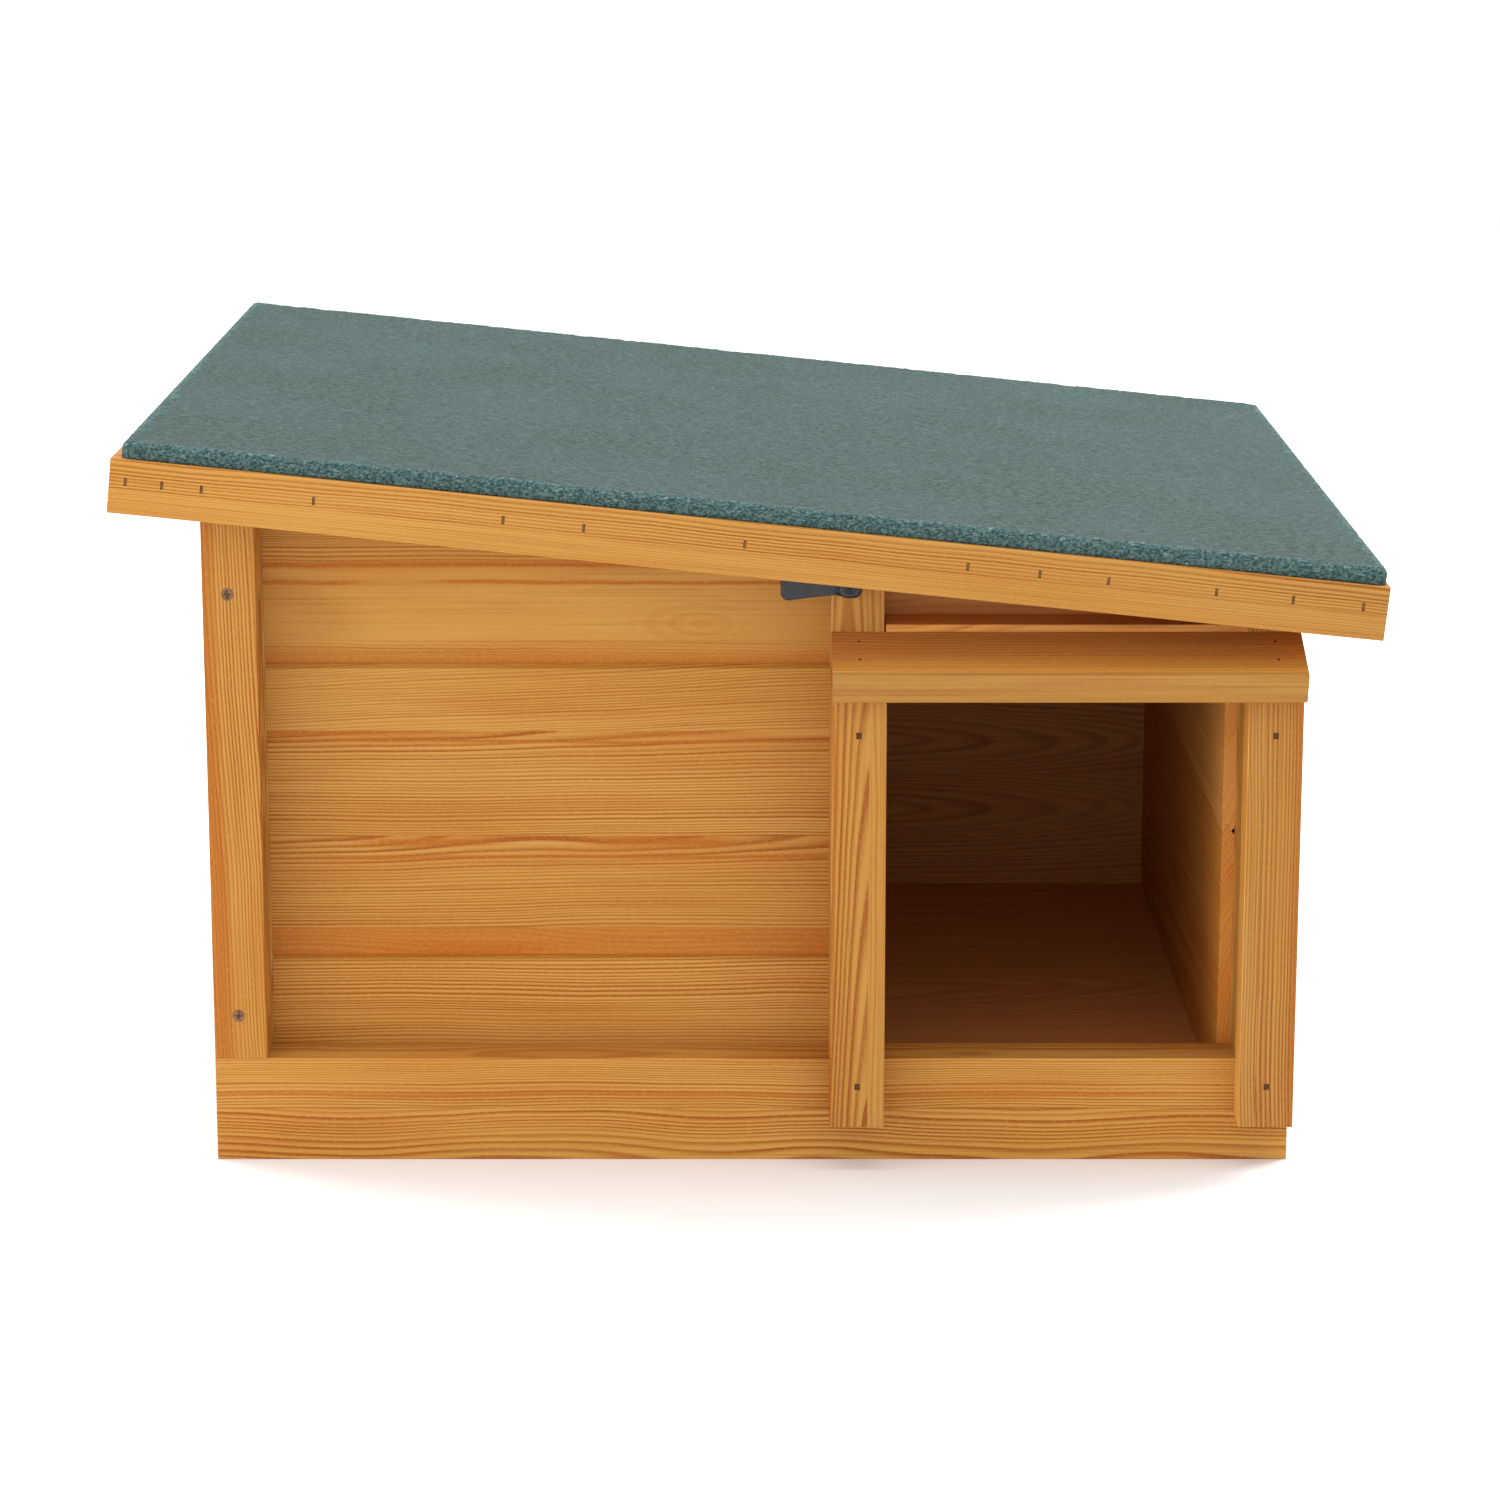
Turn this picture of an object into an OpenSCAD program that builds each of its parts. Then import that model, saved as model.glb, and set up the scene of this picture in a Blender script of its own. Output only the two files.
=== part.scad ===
// Wooden nesting box on a plinth: four battened walls lined with boards, a porch over the entrance,
// a felted roof that falls to the right and is hinged along the back wall, and a turn button.
// +X is right, +Y is towards the back, +Z is up. The origin is under the middle of the body.

/* [Body] */
// Width of the body, left to right
body_w = 680; // [660:5:760]
// Depth of the body, front to back
body_d = 620; // [560:10:760]
// Height of the roof deck's underside over the middle of the body
roof_z = 418.4; // [410:0.2:460]
// Fall of the roof to the right, in degrees
pitch = 5.85; // [4.5:0.05:6]

/* [Timber] */
// Depth of the framing timber, through the wall
timber_d = 34; // [30:1:38]
// Width of the framing timber's face
timber_w = 33; // [30:1:36]
// Thickness of the lining boards
board_t = 8; // [8:0.5:10]
// Height of the plinth
plinth_h = 34; // [32:1:44]
// Radius that the long edges of planed timber are eased to
arris_r = 0.7; // [0.3:0.1:1.5]

/* [Floor] */
// Thickness of the floor panel
floor_t = 9; // [6:1:12]
// Height of the floor's top face
floor_z = 31; // [28:1:32]
// Distance between the middles of the floor bearers
bearer_gap = 200; // [150:10:230]

/* [Boards] */
// Height of the joint between the front's lower and middle boards
front_joint_low = 124; // [100:2:200]
// Height of the joint between the front's middle and upper boards
front_joint_high = 314.5; // [250:0.5:330]
// Height of the lower joint in the side and back walls
side_joint_low = 207; // [180:1:220]
// Height of the upper joint in the left and back walls
side_joint_high = 370; // [350:1:372]
// Height of the bevel along each edge that meets another board
bevel_h = 2.4; // [1:0.2:3.6]
// Depth of that bevel into the board
bevel_d = 2.4; // [1:0.2:3]

/* [Entrance] */
// Left edge of the entrance, from the middle of the body
entrance_x = 82; // [60:1:100]
// Height of the header rail's lower edge
header_z = 314; // [300:1:318]

/* [Porch] */
// Width of each porch post
post_w = 34; // [30:1:36]
// Depth of each porch post
post_d = 26.5; // [20:0.5:34]
// Height of the porch posts' lower ends
post_z = 30; // [10:1:34]
// Height of the canopy board's top edge against the wall
canopy_z = 342.5; // [340:0.5:346]
// Width of the canopy board, down its slope
canopy_w = 51; // [40:1:60]
// Thickness of the canopy board
canopy_t = 20; // [16:1:22]
// Fall of the canopy board towards the front, in degrees
canopy_pitch = 20.6; // [15:0.2:25]

/* [Roof] */
// Distance from the middle of the body to the roof's left end, along the slope
roof_left = 389; // [380:1:395]
// Distance from the middle of the body to the roof's right end, along the slope
roof_right = 390; // [380:1:395]
// Distance that the fascias stand out from the front and back walls
overhang = 45; // [45:1:60]
// Height of the fascias
fascia_h = 33.4; // [30:0.2:36]
// Thickness of the fascias
fascia_t = 18; // [14:1:18]
// Thickness of the roof deck
deck_t = 8; // [6:1:12]
// Thickness of the roofing felt
felt_t = 2; // [1.5:0.5:3]

/* [Turn button] */
// Height of the turn button's screw
button_z = 372; // [370:0.5:374]
// Reach of the wing from the screw's middle
button_reach = 42.8; // [35:0.2:44]
// Radius of the round hub
hub_r = 8.8; // [8:0.2:10]
// Distance that the hub stands out from the frame
hub_h = 9.5; // [8:0.5:10]

/* [Hinges] */
// Length of each hinge along its pin
hinge_l = 28; // [24:1:28]
// Width of each leaf, from the pin's middle
leaf_w = 24; // [20:1:25]
// Thickness of the leaves
leaf_t = 1.5; // [1:0.25:1.5]
// Radius of the hinge pins
pin_r = 1.5; // [1:0.25:2]

/* [Hidden] */

$fn = 64;

// Faces of the body
half_w = body_w / 2;
half_d = body_d / 2;
wall_x = half_w - timber_d;
wall_y = half_d - timber_d;
lining_x = wall_x - board_t;
lining_y = wall_y - board_t;
rail_z = plinth_h + timber_w;
mid_x = entrance_x - timber_w;
header_gap = 1;

// The roof rests on the walls with a hair's gap, so that it can lift
roof_gap = 0.5;
space_big = 1200;

// Tongue and groove
tongue_t = 2.4;
tongue_h = 4;
groove_t = 2.6;
groove_h = 4.2;

// Canopy section
canopy_out = canopy_w * cos(canopy_pitch);
canopy_drop = canopy_w * sin(canopy_pitch);
canopy_under = canopy_t / cos(canopy_pitch);
canopy_end_gap = 0.2;
canopy_ease = 1.2;

// Roof
edge_r = 5;
batten_t = 15;
batten_h = 27;
back_batten_t = 18;
felt_inset_front = 4;
felt_inset_back = 10;
felt_inset_left = 8;
felt_inset_right = 2.5;
deck_left = roof_left - felt_inset_left - felt_t;
deck_right = roof_right - felt_inset_right - felt_t;
deck_front = half_d + overhang - felt_inset_front - felt_t;
deck_back = half_d + overhang - felt_inset_back - felt_t;
fascia_y = half_d + overhang - fascia_t;

// Turn button
button_x = entrance_x - 21.6;
button_gap = 0.3;
wing_t = 6;
wing_waist = 6.7;
wing_tip = 10.2;
wing_corner_r = 5;
seat_room = 0.4;
seat_top = hub_h - button_gap - 0.6;

// Hinges: the pins' line in the roof's own space
knuckle_r = 4;
hinge_y = half_d + knuckle_r + 0.5;
hinge_w = -fascia_h - knuckle_r;
hinge_gap = 0.3;
hinge_fit = 0.05;
hinge_end_gap = 0.15;
hinge_x = [-half_w + timber_w / 2, 0, half_w - timber_w / 2];
pin_head_r = 2.6;
pin_head_t = 1;

// Fasteners
fit = 0.05;
screw_r = 2;
screw_head_r = 4;
screw_head_h = 2.6;
frame_screw_l = 60;
frame_screw_x = half_w - 15.6;
frame_screw_z = [95, 366];
hinge_screw_r = 1.5;
hinge_screw_head_r = 3;
hinge_screw_l = 16;
hinge_screw_off = 8;
leaf_screw_at = 15;
button_screw_l = 38;
slot_l = 4.4;
slot_w = 0.9;
slot_d = 1.4;
screw_tip_r = 0.2;
nail_sink = 0.5;
nail_head_t = 1.5;
nail_shank = 0.7;
porch_nail = [3.3, 4];
porch_nail_l = 50;
porch_nail_z = [56.4, 282.3];
fascia_nail = [1.8, 5];
fascia_nail_l = 30;
fascia_nail_w = -13.5;
fascia_nail_u = [-379, -357, -333, -265, -150, -101, -3, 133, 177, 219, 285, 332, 375];
back_nail_u = [-380, -270, -160, -55, 55, 160, 270, 381];
canopy_nail = [1.6, 2.4];
canopy_nail_l = 28;
canopy_nail_s = [11, 32];

wood = "#d2914a";
wood_dark = "#b9722f";
floor_wood = "#7a3f22";
felt_green = "#5f7b74";
plastic = "#35373b";
zinc = "#8d8577";
steel = "#55504a";

// ---- Shared shapes ----

// Places children in the roof's space: X down the slope, Y back, Z out of the deck's underside
module roof_space() {
  translate([0, 0, roof_z])
    rotate([0, pitch, 0])
      children();
}

// Cuts children off just under the roof deck, less a further depth
module under_roof(depth = 0) {
  intersection() {
    children();
    roof_space()
      translate([-space_big / 2, -space_big / 2, -space_big - roof_gap - depth])
        cube(space_big);
  }
}

// A box from its low corner to its high corner
module block(low, high) {
  translate(low)
    cube(high - low);
}

// A rectangle with eased corners, from the origin
module eased_rectangle(w, h) {
  translate([arris_r, 0])
    square([w - 2 * arris_r, h]);
  translate([0, arris_r])
    square([w, h - 2 * arris_r]);
  for (x = [arris_r, w - arris_r])
    for (y = [arris_r, h - arris_r])
      translate([x, y])
        circle(arris_r, $fn = 24);
}

// Planed timber from its low corner to its high corner, its grain and eased edges along X, Y or Z
module timber(low, high, along) {
  size = high - low;
  if (along == "x")
    translate(low)
      rotate([90, 0, 90])
        linear_extrude(size[0])
          eased_rectangle(size[1], size[2]);
  if (along == "y")
    translate([low[0], high[1], low[2]])
      rotate([90, 0, 0])
        linear_extrude(size[1])
          eased_rectangle(size[0], size[2]);
  if (along == "z")
    translate(low)
      linear_extrude(size[2])
        eased_rectangle(size[0], size[1]);
}

// A countersunk screw's outline, head at the origin and point along +Z, grown by a clearance
module screw_shape(length, r, head_r, head_h, grow = 0) {
  point_h = 3 * r;
  rotate_extrude()
    polygon([
      [0, 0], [head_r + grow, 0], [r + grow, head_h],
      [r + grow, length - point_h], [screw_tip_r + grow, length + grow], [0, length + grow]
    ]);
}

// The hole for a screw, open through the face that its head lies in
module screw_hole(length, r, head_r, head_h) {
  screw_shape(length, r, head_r, head_h, fit);
  translate([0, 0, -1])
    cylinder(r = head_r + fit, h = 1);
}

// The screw itself, with a cross recess in its head
module screw(length, r, head_r, head_h) {
  difference() {
    screw_shape(length, r, head_r, head_h);
    for (turn = [0, 90])
      rotate([0, 0, turn])
        block([-slot_l / 2, -slot_w / 2, -1], [slot_l / 2, slot_w / 2, slot_d]);
  }
}

// Turns +Z to point back, as a screw driven in from the front
module from_front() {
  rotate([-90, 0, 0])
    children();
}

// Turns +Z to point forward, as a screw driven in from the back
module from_back() {
  rotate([90, 0, 0])
    children();
}

// A nail with a flat oblong head, sunk a little below the face, along +Z; grown for its hole
module nail(size, length, grow = 0) {
  top = grow > 0 ? -1 : nail_sink;
  under = nail_sink + nail_head_t;
  head = size / 2 + [grow, grow];
  shank = nail_shank * size[0] / 2 + grow;
  block([-head[0], -head[1], top], [head[0], head[1], under]);
  block([-shank, -shank, nail_sink], [shank, shank, length + grow]);
}

// ---- Fasteners placed on the box, as shapes or as the holes for them ----

module place_frame_screws() {
  for (side = [-1, 1])
    for (z = frame_screw_z) {
      translate([side * frame_screw_x, -half_d, z])
        from_front()
          children();
      translate([side * frame_screw_x, half_d, z])
        from_back()
          children();
    }
}

module frame_screw_holes() {
  place_frame_screws()
    screw_hole(frame_screw_l, screw_r, screw_head_r, screw_head_h);
}

module place_porch_nails() {
  for (x = [mid_x + post_w / 2, half_w - post_w / 2])
    for (z = porch_nail_z)
      translate([x, -half_d - post_d, z])
        from_front()
          children();
}

module porch_nail_holes() {
  place_porch_nails()
    nail(porch_nail, porch_nail_l, fit);
}

module place_canopy_nails() {
  for (x = [mid_x + post_w / 2, half_w - post_w / 2])
    for (s = canopy_nail_s)
      translate([x, -half_d, canopy_z])
        rotate([canopy_pitch, 0, 0])
          translate([0, -s, 0])
            rotate([180, 0, 0])
              children();
}

module canopy_nail_holes() {
  place_canopy_nails()
    nail(canopy_nail, canopy_nail_l, fit);
}

module place_fascia_nails() {
  roof_space() {
    for (u = fascia_nail_u)
      translate([u, -half_d - overhang, fascia_nail_w])
        from_front()
          children();
    for (u = back_nail_u)
      translate([u, half_d + overhang, fascia_nail_w])
        from_back()
          children();
  }
}

module fascia_nail_holes() {
  place_fascia_nails()
    nail(fascia_nail, fascia_nail_l, fit);
}

module place_hinges() {
  for (x = hinge_x)
    roof_space()
      translate([x / cos(pitch) + hinge_w * -tan(pitch), hinge_y, hinge_w])
        children();
}

module place_wall_leaf_screws() {
  place_hinges()
    for (u = [-hinge_screw_off, hinge_screw_off])
      translate([u, half_d + leaf_t - hinge_y, -leaf_screw_at])
        from_back()
          children();
}

module place_roof_leaf_screws() {
  place_hinges()
    for (u = [-hinge_screw_off, hinge_screw_off])
      translate([u, leaf_screw_at, knuckle_r - leaf_t])
        children();
}

module hinge_screw_hole() {
  screw_hole(hinge_screw_l, hinge_screw_r, hinge_screw_head_r, leaf_t);
}

// ---- Plinth and floor ----

module plinth_front() {
  color(wood)
    timber([-half_w, -half_d, 0], [half_w, -wall_y, plinth_h], "x");
}

module plinth_back() {
  color(wood)
    timber([-half_w, wall_y, 0], [half_w, half_d, plinth_h], "x");
}

module plinth_left() {
  color(wood)
    timber([-half_w, -wall_y, 0], [-wall_x, wall_y, plinth_h], "y");
}

module plinth_right() {
  color(wood)
    timber([wall_x, -wall_y, 0], [half_w, wall_y, plinth_h], "y");
}

module floor_panel() {
  color(floor_wood)
    block([-wall_x, -wall_y, floor_z - floor_t], [wall_x, wall_y, floor_z]);
}

module floor_bearers() {
  color(wood_dark)
    for (x = [-bearer_gap, 0, bearer_gap])
      timber([x - timber_w / 2, -wall_y, 0], [x + timber_w / 2, wall_y, floor_z - floor_t], "y");
}

// ---- Framing ----

// An upright at a corner of a wall, standing on its bottom rail
module upright(low_x, low_y, size_x, size_y, depth = 0) {
  under_roof(depth)
    timber([low_x, low_y, rail_z], [low_x + size_x, low_y + size_y, roof_z + half_w], "z");
}

// A rail that follows the roof's slope between two uprights
module sloping_rail(low_x, high_x, low_y) {
  difference() {
    under_roof()
      block([low_x, low_y, plinth_h], [high_x, low_y + timber_d, roof_z + half_w]);
    under_roof(timber_w)
      block([low_x - 1, low_y - 1, 0], [high_x + 1, low_y + timber_d + 1, roof_z + half_w]);
  }
}

module front_bottom_rail() {
  color(wood)
    difference() {
      timber([-half_w, -half_d, plinth_h], [half_w, -wall_y, rail_z], "x");
      porch_nail_holes();
    }
}

module front_left_stile() {
  color(wood)
    difference() {
      upright(-half_w, -half_d, timber_w, timber_d);
      frame_screw_holes();
    }
}

module front_mid_stile() {
  color(wood)
    difference() {
      upright(mid_x, -half_d, timber_w, timber_d);
      porch_nail_holes();
      translate([button_x, -half_d - hub_h, button_z])
        from_front()
          screw_hole(button_screw_l, screw_r, screw_head_r, screw_head_h);
    }
}

module front_right_stile() {
  color(wood)
    difference() {
      upright(half_w - timber_w, -half_d, timber_w, timber_d);
      frame_screw_holes();
      porch_nail_holes();
    }
}

module front_header_rail() {
  color(wood)
    timber(
      [entrance_x + header_gap, -half_d, header_z],
      [half_w - timber_w, -wall_y, header_z + timber_w],
      "x"
    );
}

module front_top_rail_left() {
  color(wood)
    sloping_rail(-half_w + timber_w, mid_x, -half_d);
}

module front_top_rail_right() {
  color(wood)
    sloping_rail(entrance_x, half_w - timber_w, -half_d);
}

// The frame of a side wall, on the side that sign gives: -1 left, 1 right
module side_stile(sign, low_y) {
  low_x = sign < 0 ? -half_w : wall_x;
  difference() {
    upright(low_x, low_y, timber_d, timber_w);
    frame_screw_holes();
  }
}

module side_bottom_rail(sign) {
  low_x = sign < 0 ? -half_w : wall_x;
  timber([low_x, -wall_y, plinth_h], [low_x + timber_d, wall_y, rail_z], "y");
}

module side_top_rail(sign) {
  low_x = sign < 0 ? -half_w : wall_x;
  reach = wall_y - timber_w;
  difference() {
    under_roof()
      block([low_x, -reach, rail_z], [low_x + timber_d, reach, roof_z + half_w]);
    under_roof(timber_w)
      block([low_x - 1, -reach - 1, 0], [low_x + timber_d + 1, reach + 1, roof_z + half_w]);
  }
}

module left_front_stile() {
  color(wood) side_stile(-1, -wall_y);
}

module left_back_stile() {
  color(wood) side_stile(-1, wall_y - timber_w);
}

module left_bottom_rail() {
  color(wood) side_bottom_rail(-1);
}

module left_top_rail() {
  color(wood) side_top_rail(-1);
}

module right_front_stile() {
  color(wood) side_stile(1, -wall_y);
}

module right_back_stile() {
  color(wood) side_stile(1, wall_y - timber_w);
}

module right_bottom_rail() {
  color(wood) side_bottom_rail(1);
}

module right_top_rail() {
  color(wood) side_top_rail(1);
}

module back_bottom_rail() {
  color(wood)
    timber([-half_w, wall_y, plinth_h], [half_w, half_d, rail_z], "x");
}

// An upright of the back wall, drilled for the screws of its hinge
module back_stile(low_x, depth = 0) {
  difference() {
    upright(low_x, wall_y, timber_w, timber_d, depth);
    frame_screw_holes();
    place_wall_leaf_screws()
      hinge_screw_hole();
  }
}

module back_left_stile() {
  color(wood) back_stile(-half_w);
}

module back_mid_stile() {
  color(wood) back_stile(-timber_w / 2, timber_w);
}

module back_right_stile() {
  color(wood) back_stile(half_w - timber_w);
}

module back_top_rail() {
  color(wood)
    sloping_rail(-half_w + timber_w, half_w - timber_w, wall_y);
}

// ---- Lining boards ----

// Section of a lining board, outer face at x = 0; "meets" says which edges join another board
module board_section(low, high, meets_below, meets_above) {
  low_bevel = meets_below ? 1 : 0;
  high_bevel = meets_above ? 1 : 0;
  difference() {
    union() {
      polygon([
        [0, low + bevel_h * low_bevel], [bevel_d * low_bevel, low], [board_t, low],
        [board_t, high], [bevel_d * high_bevel, high], [0, high - bevel_h * high_bevel]
      ]);
      if (meets_above)
        translate([board_t / 2, high - 1])
          square([tongue_t, tongue_h + 1]);
    }
    if (meets_below)
      translate([board_t / 2 - (groove_t - tongue_t) / 2, low - 1])
        square([groove_t, groove_h + 1]);
  }
}

// A board of the front wall, from low_x to high_x
module front_board(low_x, high_x, low, high, meets_below, meets_above) {
  under_roof()
    translate([low_x, -wall_y, 0])
      rotate([90, 0, 90])
        linear_extrude(high_x - low_x)
          board_section(low, high, meets_below, meets_above);
}

// A board of the back wall
module back_board(low, high, meets_below, meets_above) {
  mirror([0, 1, 0])
    front_board(-wall_x, wall_x, low, high, meets_below, meets_above);
}

// A board of a side wall: sign is -1 for the left wall and 1 for the right
module side_board(sign, low_y, low, high, meets_below, meets_above) {
  under_roof()
    translate([sign * wall_x, lining_y, 0])
      mirror([sign > 0 ? 1 : 0, 0, 0])
        rotate([90, 0, 0])
          linear_extrude(lining_y - low_y)
            board_section(low, high, meets_below, meets_above);
}

module front_board_lower() {
  color(wood) front_board(-wall_x, entrance_x, floor_z, front_joint_low, false, true);
}

module front_board_middle() {
  color(wood) front_board(-wall_x, entrance_x, front_joint_low, front_joint_high, true, true);
}

module front_board_upper() {
  color(wood) front_board(-wall_x, entrance_x, front_joint_high, roof_z + half_w, true, false);
}

module front_board_over_entrance() {
  color(wood) front_board(entrance_x, lining_x, header_z, roof_z + half_w, false, false);
}

module left_board_lower() {
  color(wood) side_board(-1, -lining_y, floor_z, side_joint_low, false, true);
}

module left_board_middle() {
  color(wood) side_board(-1, -lining_y, side_joint_low, side_joint_high, true, true);
}

module left_board_upper() {
  color(wood) side_board(-1, -lining_y, side_joint_high, roof_z + half_w, true, false);
}

module right_board_lower() {
  color(wood) side_board(1, -wall_y, floor_z, side_joint_low, false, true);
}

module right_board_upper() {
  color(wood) side_board(1, -wall_y, side_joint_low, roof_z + half_w, true, false);
}

module back_board_lower() {
  color(wood) back_board(floor_z, side_joint_low, false, true);
}

module back_board_middle() {
  color(wood) back_board(side_joint_low, side_joint_high, true, true);
}

module back_board_upper() {
  color(wood) back_board(side_joint_high, roof_z + half_w, true, false);
}

// ---- Porch ----

// Section of the canopy board in Y and Z, its front edges eased and its back edge cut plumb
module canopy_section() {
  down_slope = [-cos(canopy_pitch), -sin(canopy_pitch)];
  inward = [sin(canopy_pitch), -cos(canopy_pitch)];
  ease = canopy_ease;
  nose = canopy_w * down_slope;
  lip = nose + canopy_t * inward;
  polygon([
    [0, 0], nose - ease * down_slope, nose + ease * inward,
    lip - ease * inward, lip - ease * down_slope, [0, -canopy_under]
  ]);
  translate(nose + ease * (inward - down_slope))
    circle(ease);
  translate(lip - ease * (inward + down_slope))
    circle(ease);
}

// An upright of the porch, cut to the canopy's underside
module porch_post(low_x) {
  low_y = -half_d - post_d;
  difference() {
    timber([low_x, low_y, post_z], [low_x + post_w, -half_d, canopy_z], "z");
    translate([low_x - 1, -half_d, canopy_z])
      rotate([90, 0, 90])
        linear_extrude(post_w + 2)
          polygon([
            [0, -canopy_under], [-2 * canopy_out, -canopy_under - 2 * canopy_drop],
            [-2 * canopy_out, canopy_t], [1, canopy_t], [1, -canopy_under]
          ]);
    porch_nail_holes();
    canopy_nail_holes();
  }
}

module porch_post_mid() {
  color(wood) porch_post(mid_x);
}

module porch_post_right() {
  color(wood) porch_post(half_w - post_w);
}

module canopy_board() {
  color(wood_dark)
    difference() {
      translate([mid_x + canopy_end_gap, -half_d, canopy_z])
        rotate([90, 0, 90])
          linear_extrude(half_w - mid_x - canopy_end_gap)
            canopy_section();
      canopy_nail_holes();
    }
}

// ---- Roof ----

// A slab with rounded top edges, by its reach to the left, right, front and back, and its height
module rounded_slab(left, right, front, back, height, r) {
  intersection() {
    translate([0, back, 0])
      rotate([90, 0, 0])
        linear_extrude(front + back)
          slab_section(left, right, height, r);
    translate([-left, 0, 0])
      rotate([90, 0, 90])
        linear_extrude(left + right)
          slab_section(front, back, height, r);
  }
}

// One section of that slab
module slab_section(low, high, height, r) {
  translate([-low, 0])
    square([low + high, height - r]);
  translate([-low + r, 0])
    square([low + high - 2 * r, height]);
  for (x = [-low + r, high - r])
    translate([x, height - r])
      circle(r);
}

module deck_solid() {
  rounded_slab(deck_left, deck_right, deck_front, deck_back, deck_t, edge_r - felt_t);
}

module roof_deck() {
  color(wood)
    roof_space()
      deck_solid();
}

module roof_felt() {
  color(felt_green)
    roof_space()
      difference() {
        rounded_slab(
          deck_left + felt_t, deck_right + felt_t, deck_front + felt_t, deck_back + felt_t,
          deck_t + felt_t, edge_r
        );
        deck_solid();
      }
}

module fascia_front() {
  color(wood)
    difference() {
      roof_space()
        timber([-roof_left, -half_d - overhang, -fascia_h], [roof_right, -fascia_y, 0], "x");
      fascia_nail_holes();
    }
}

module fascia_back() {
  color(wood)
    difference() {
      roof_space()
        timber([-roof_left, fascia_y, -fascia_h], [roof_right, half_d + overhang, 0], "x");
      fascia_nail_holes();
    }
}

module fascia_left() {
  color(wood)
    difference() {
      roof_space()
        timber([-roof_left, -fascia_y, -fascia_h], [-roof_left + fascia_t, fascia_y, 0], "y");
      fascia_nail_holes();
    }
}

module fascia_right() {
  color(wood)
    difference() {
      roof_space()
        timber([roof_right - fascia_t, -fascia_y, -fascia_h], [roof_right, fascia_y, 0], "y");
      fascia_nail_holes();
    }
}

module roof_batten_front() {
  color(wood)
    difference() {
      roof_space()
        block(
          [-roof_left + fascia_t, -fascia_y, -batten_h],
          [roof_right - fascia_t, -fascia_y + batten_t, 0]
        );
      fascia_nail_holes();
    }
}

module roof_batten_back() {
  color(wood)
    difference() {
      roof_space()
        block(
          [-roof_left + fascia_t, fascia_y - back_batten_t, -fascia_h],
          [roof_right - fascia_t, fascia_y, 0]
        );
      fascia_nail_holes();
      place_roof_leaf_screws()
        hinge_screw_hole();
    }
}

// ---- Turn button ----

// Outline of the wing, pointing along -X, with rounded corners at its tip
module wing_outline() {
  corner = [-button_reach + wing_corner_r, wing_tip - wing_corner_r];
  polygon([
    [0, -wing_waist], [corner[0], -wing_tip], [-button_reach, -corner[1]],
    [-button_reach, corner[1]], [corner[0], wing_tip], [0, wing_waist]
  ]);
  for (side = [-1, 1])
    translate([corner[0], side * corner[1]])
      circle(wing_corner_r);
}

module turn_button() {
  color(plastic)
    translate([button_x, -half_d - button_gap, button_z])
      rotate([90, 0, 0])
        difference() {
          union() {
            cylinder(r = hub_r, h = hub_h - button_gap);
            linear_extrude(wing_t)
              wing_outline();
          }
          translate([0, 0, -1])
            cylinder(r = screw_r + fit, h = hub_h + 2);
          translate([0, 0, seat_top - screw_head_h])
            cylinder(r1 = screw_r + fit, r2 = screw_head_r + seat_room, h = screw_head_h);
          translate([0, 0, seat_top])
            cylinder(r = screw_head_r + seat_room, h = 1);
        }
}

module turn_button_screw() {
  color(steel)
    translate([button_x, -half_d - hub_h, button_z])
      from_front()
        screw(button_screw_l, screw_r, screw_head_r, screw_head_h);
}

// ---- Fasteners ----

module frame_screws() {
  color(zinc)
    place_frame_screws()
      screw(frame_screw_l, screw_r, screw_head_r, screw_head_h);
}

module porch_nails() {
  color(steel)
    place_porch_nails()
      nail(porch_nail, porch_nail_l);
}

module canopy_nails() {
  color(steel)
    place_canopy_nails()
      nail(canopy_nail, canopy_nail_l);
}

module fascia_nails() {
  color(steel)
    place_fascia_nails()
      nail(fascia_nail, fascia_nail_l);
}

// ---- Hinges ----

// A third of the knuckle, at place -1, 0 or 1 along the pin
module knuckle(place, r, shorten = 0) {
  third = hinge_l / 3;
  translate([place * third - third / 2 + shorten, 0, 0])
    rotate([0, 90, 0])
      cylinder(r = r, h = third - 2 * shorten);
}

// The pin's bore through the whole hinge
module pin_bore() {
  translate([-hinge_l, 0, 0])
    rotate([0, 90, 0])
      cylinder(r = pin_r + hinge_fit, h = 2 * hinge_l);
}

// Room for the other leaf's knuckles
module knuckle_room(places) {
  for (place = places)
    knuckle(place, knuckle_r + hinge_gap, -hinge_end_gap);
}

module hinge_wall_leaves() {
  wall = half_d - hinge_y;
  color(zinc)
    difference() {
      place_hinges()
        difference() {
          union() {
            block([-hinge_l / 2, wall, -leaf_w], [hinge_l / 2, wall + leaf_t, 0]);
            for (place = [-1, 1])
              knuckle(place, knuckle_r);
          }
          knuckle_room([0]);
          pin_bore();
        }
      place_wall_leaf_screws()
        hinge_screw_hole();
    }
}

module hinge_roof_leaves() {
  color(zinc)
    difference() {
      place_hinges()
        difference() {
          union() {
            block(
              [-hinge_l / 2, 0, knuckle_r - leaf_t],
              [hinge_l / 2, fascia_y - hinge_y, knuckle_r]
            );
            knuckle(0, knuckle_r, hinge_end_gap);
          }
          knuckle_room([-1, 1]);
          pin_bore();
        }
      place_roof_leaf_screws()
        hinge_screw_hole();
    }
}

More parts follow.
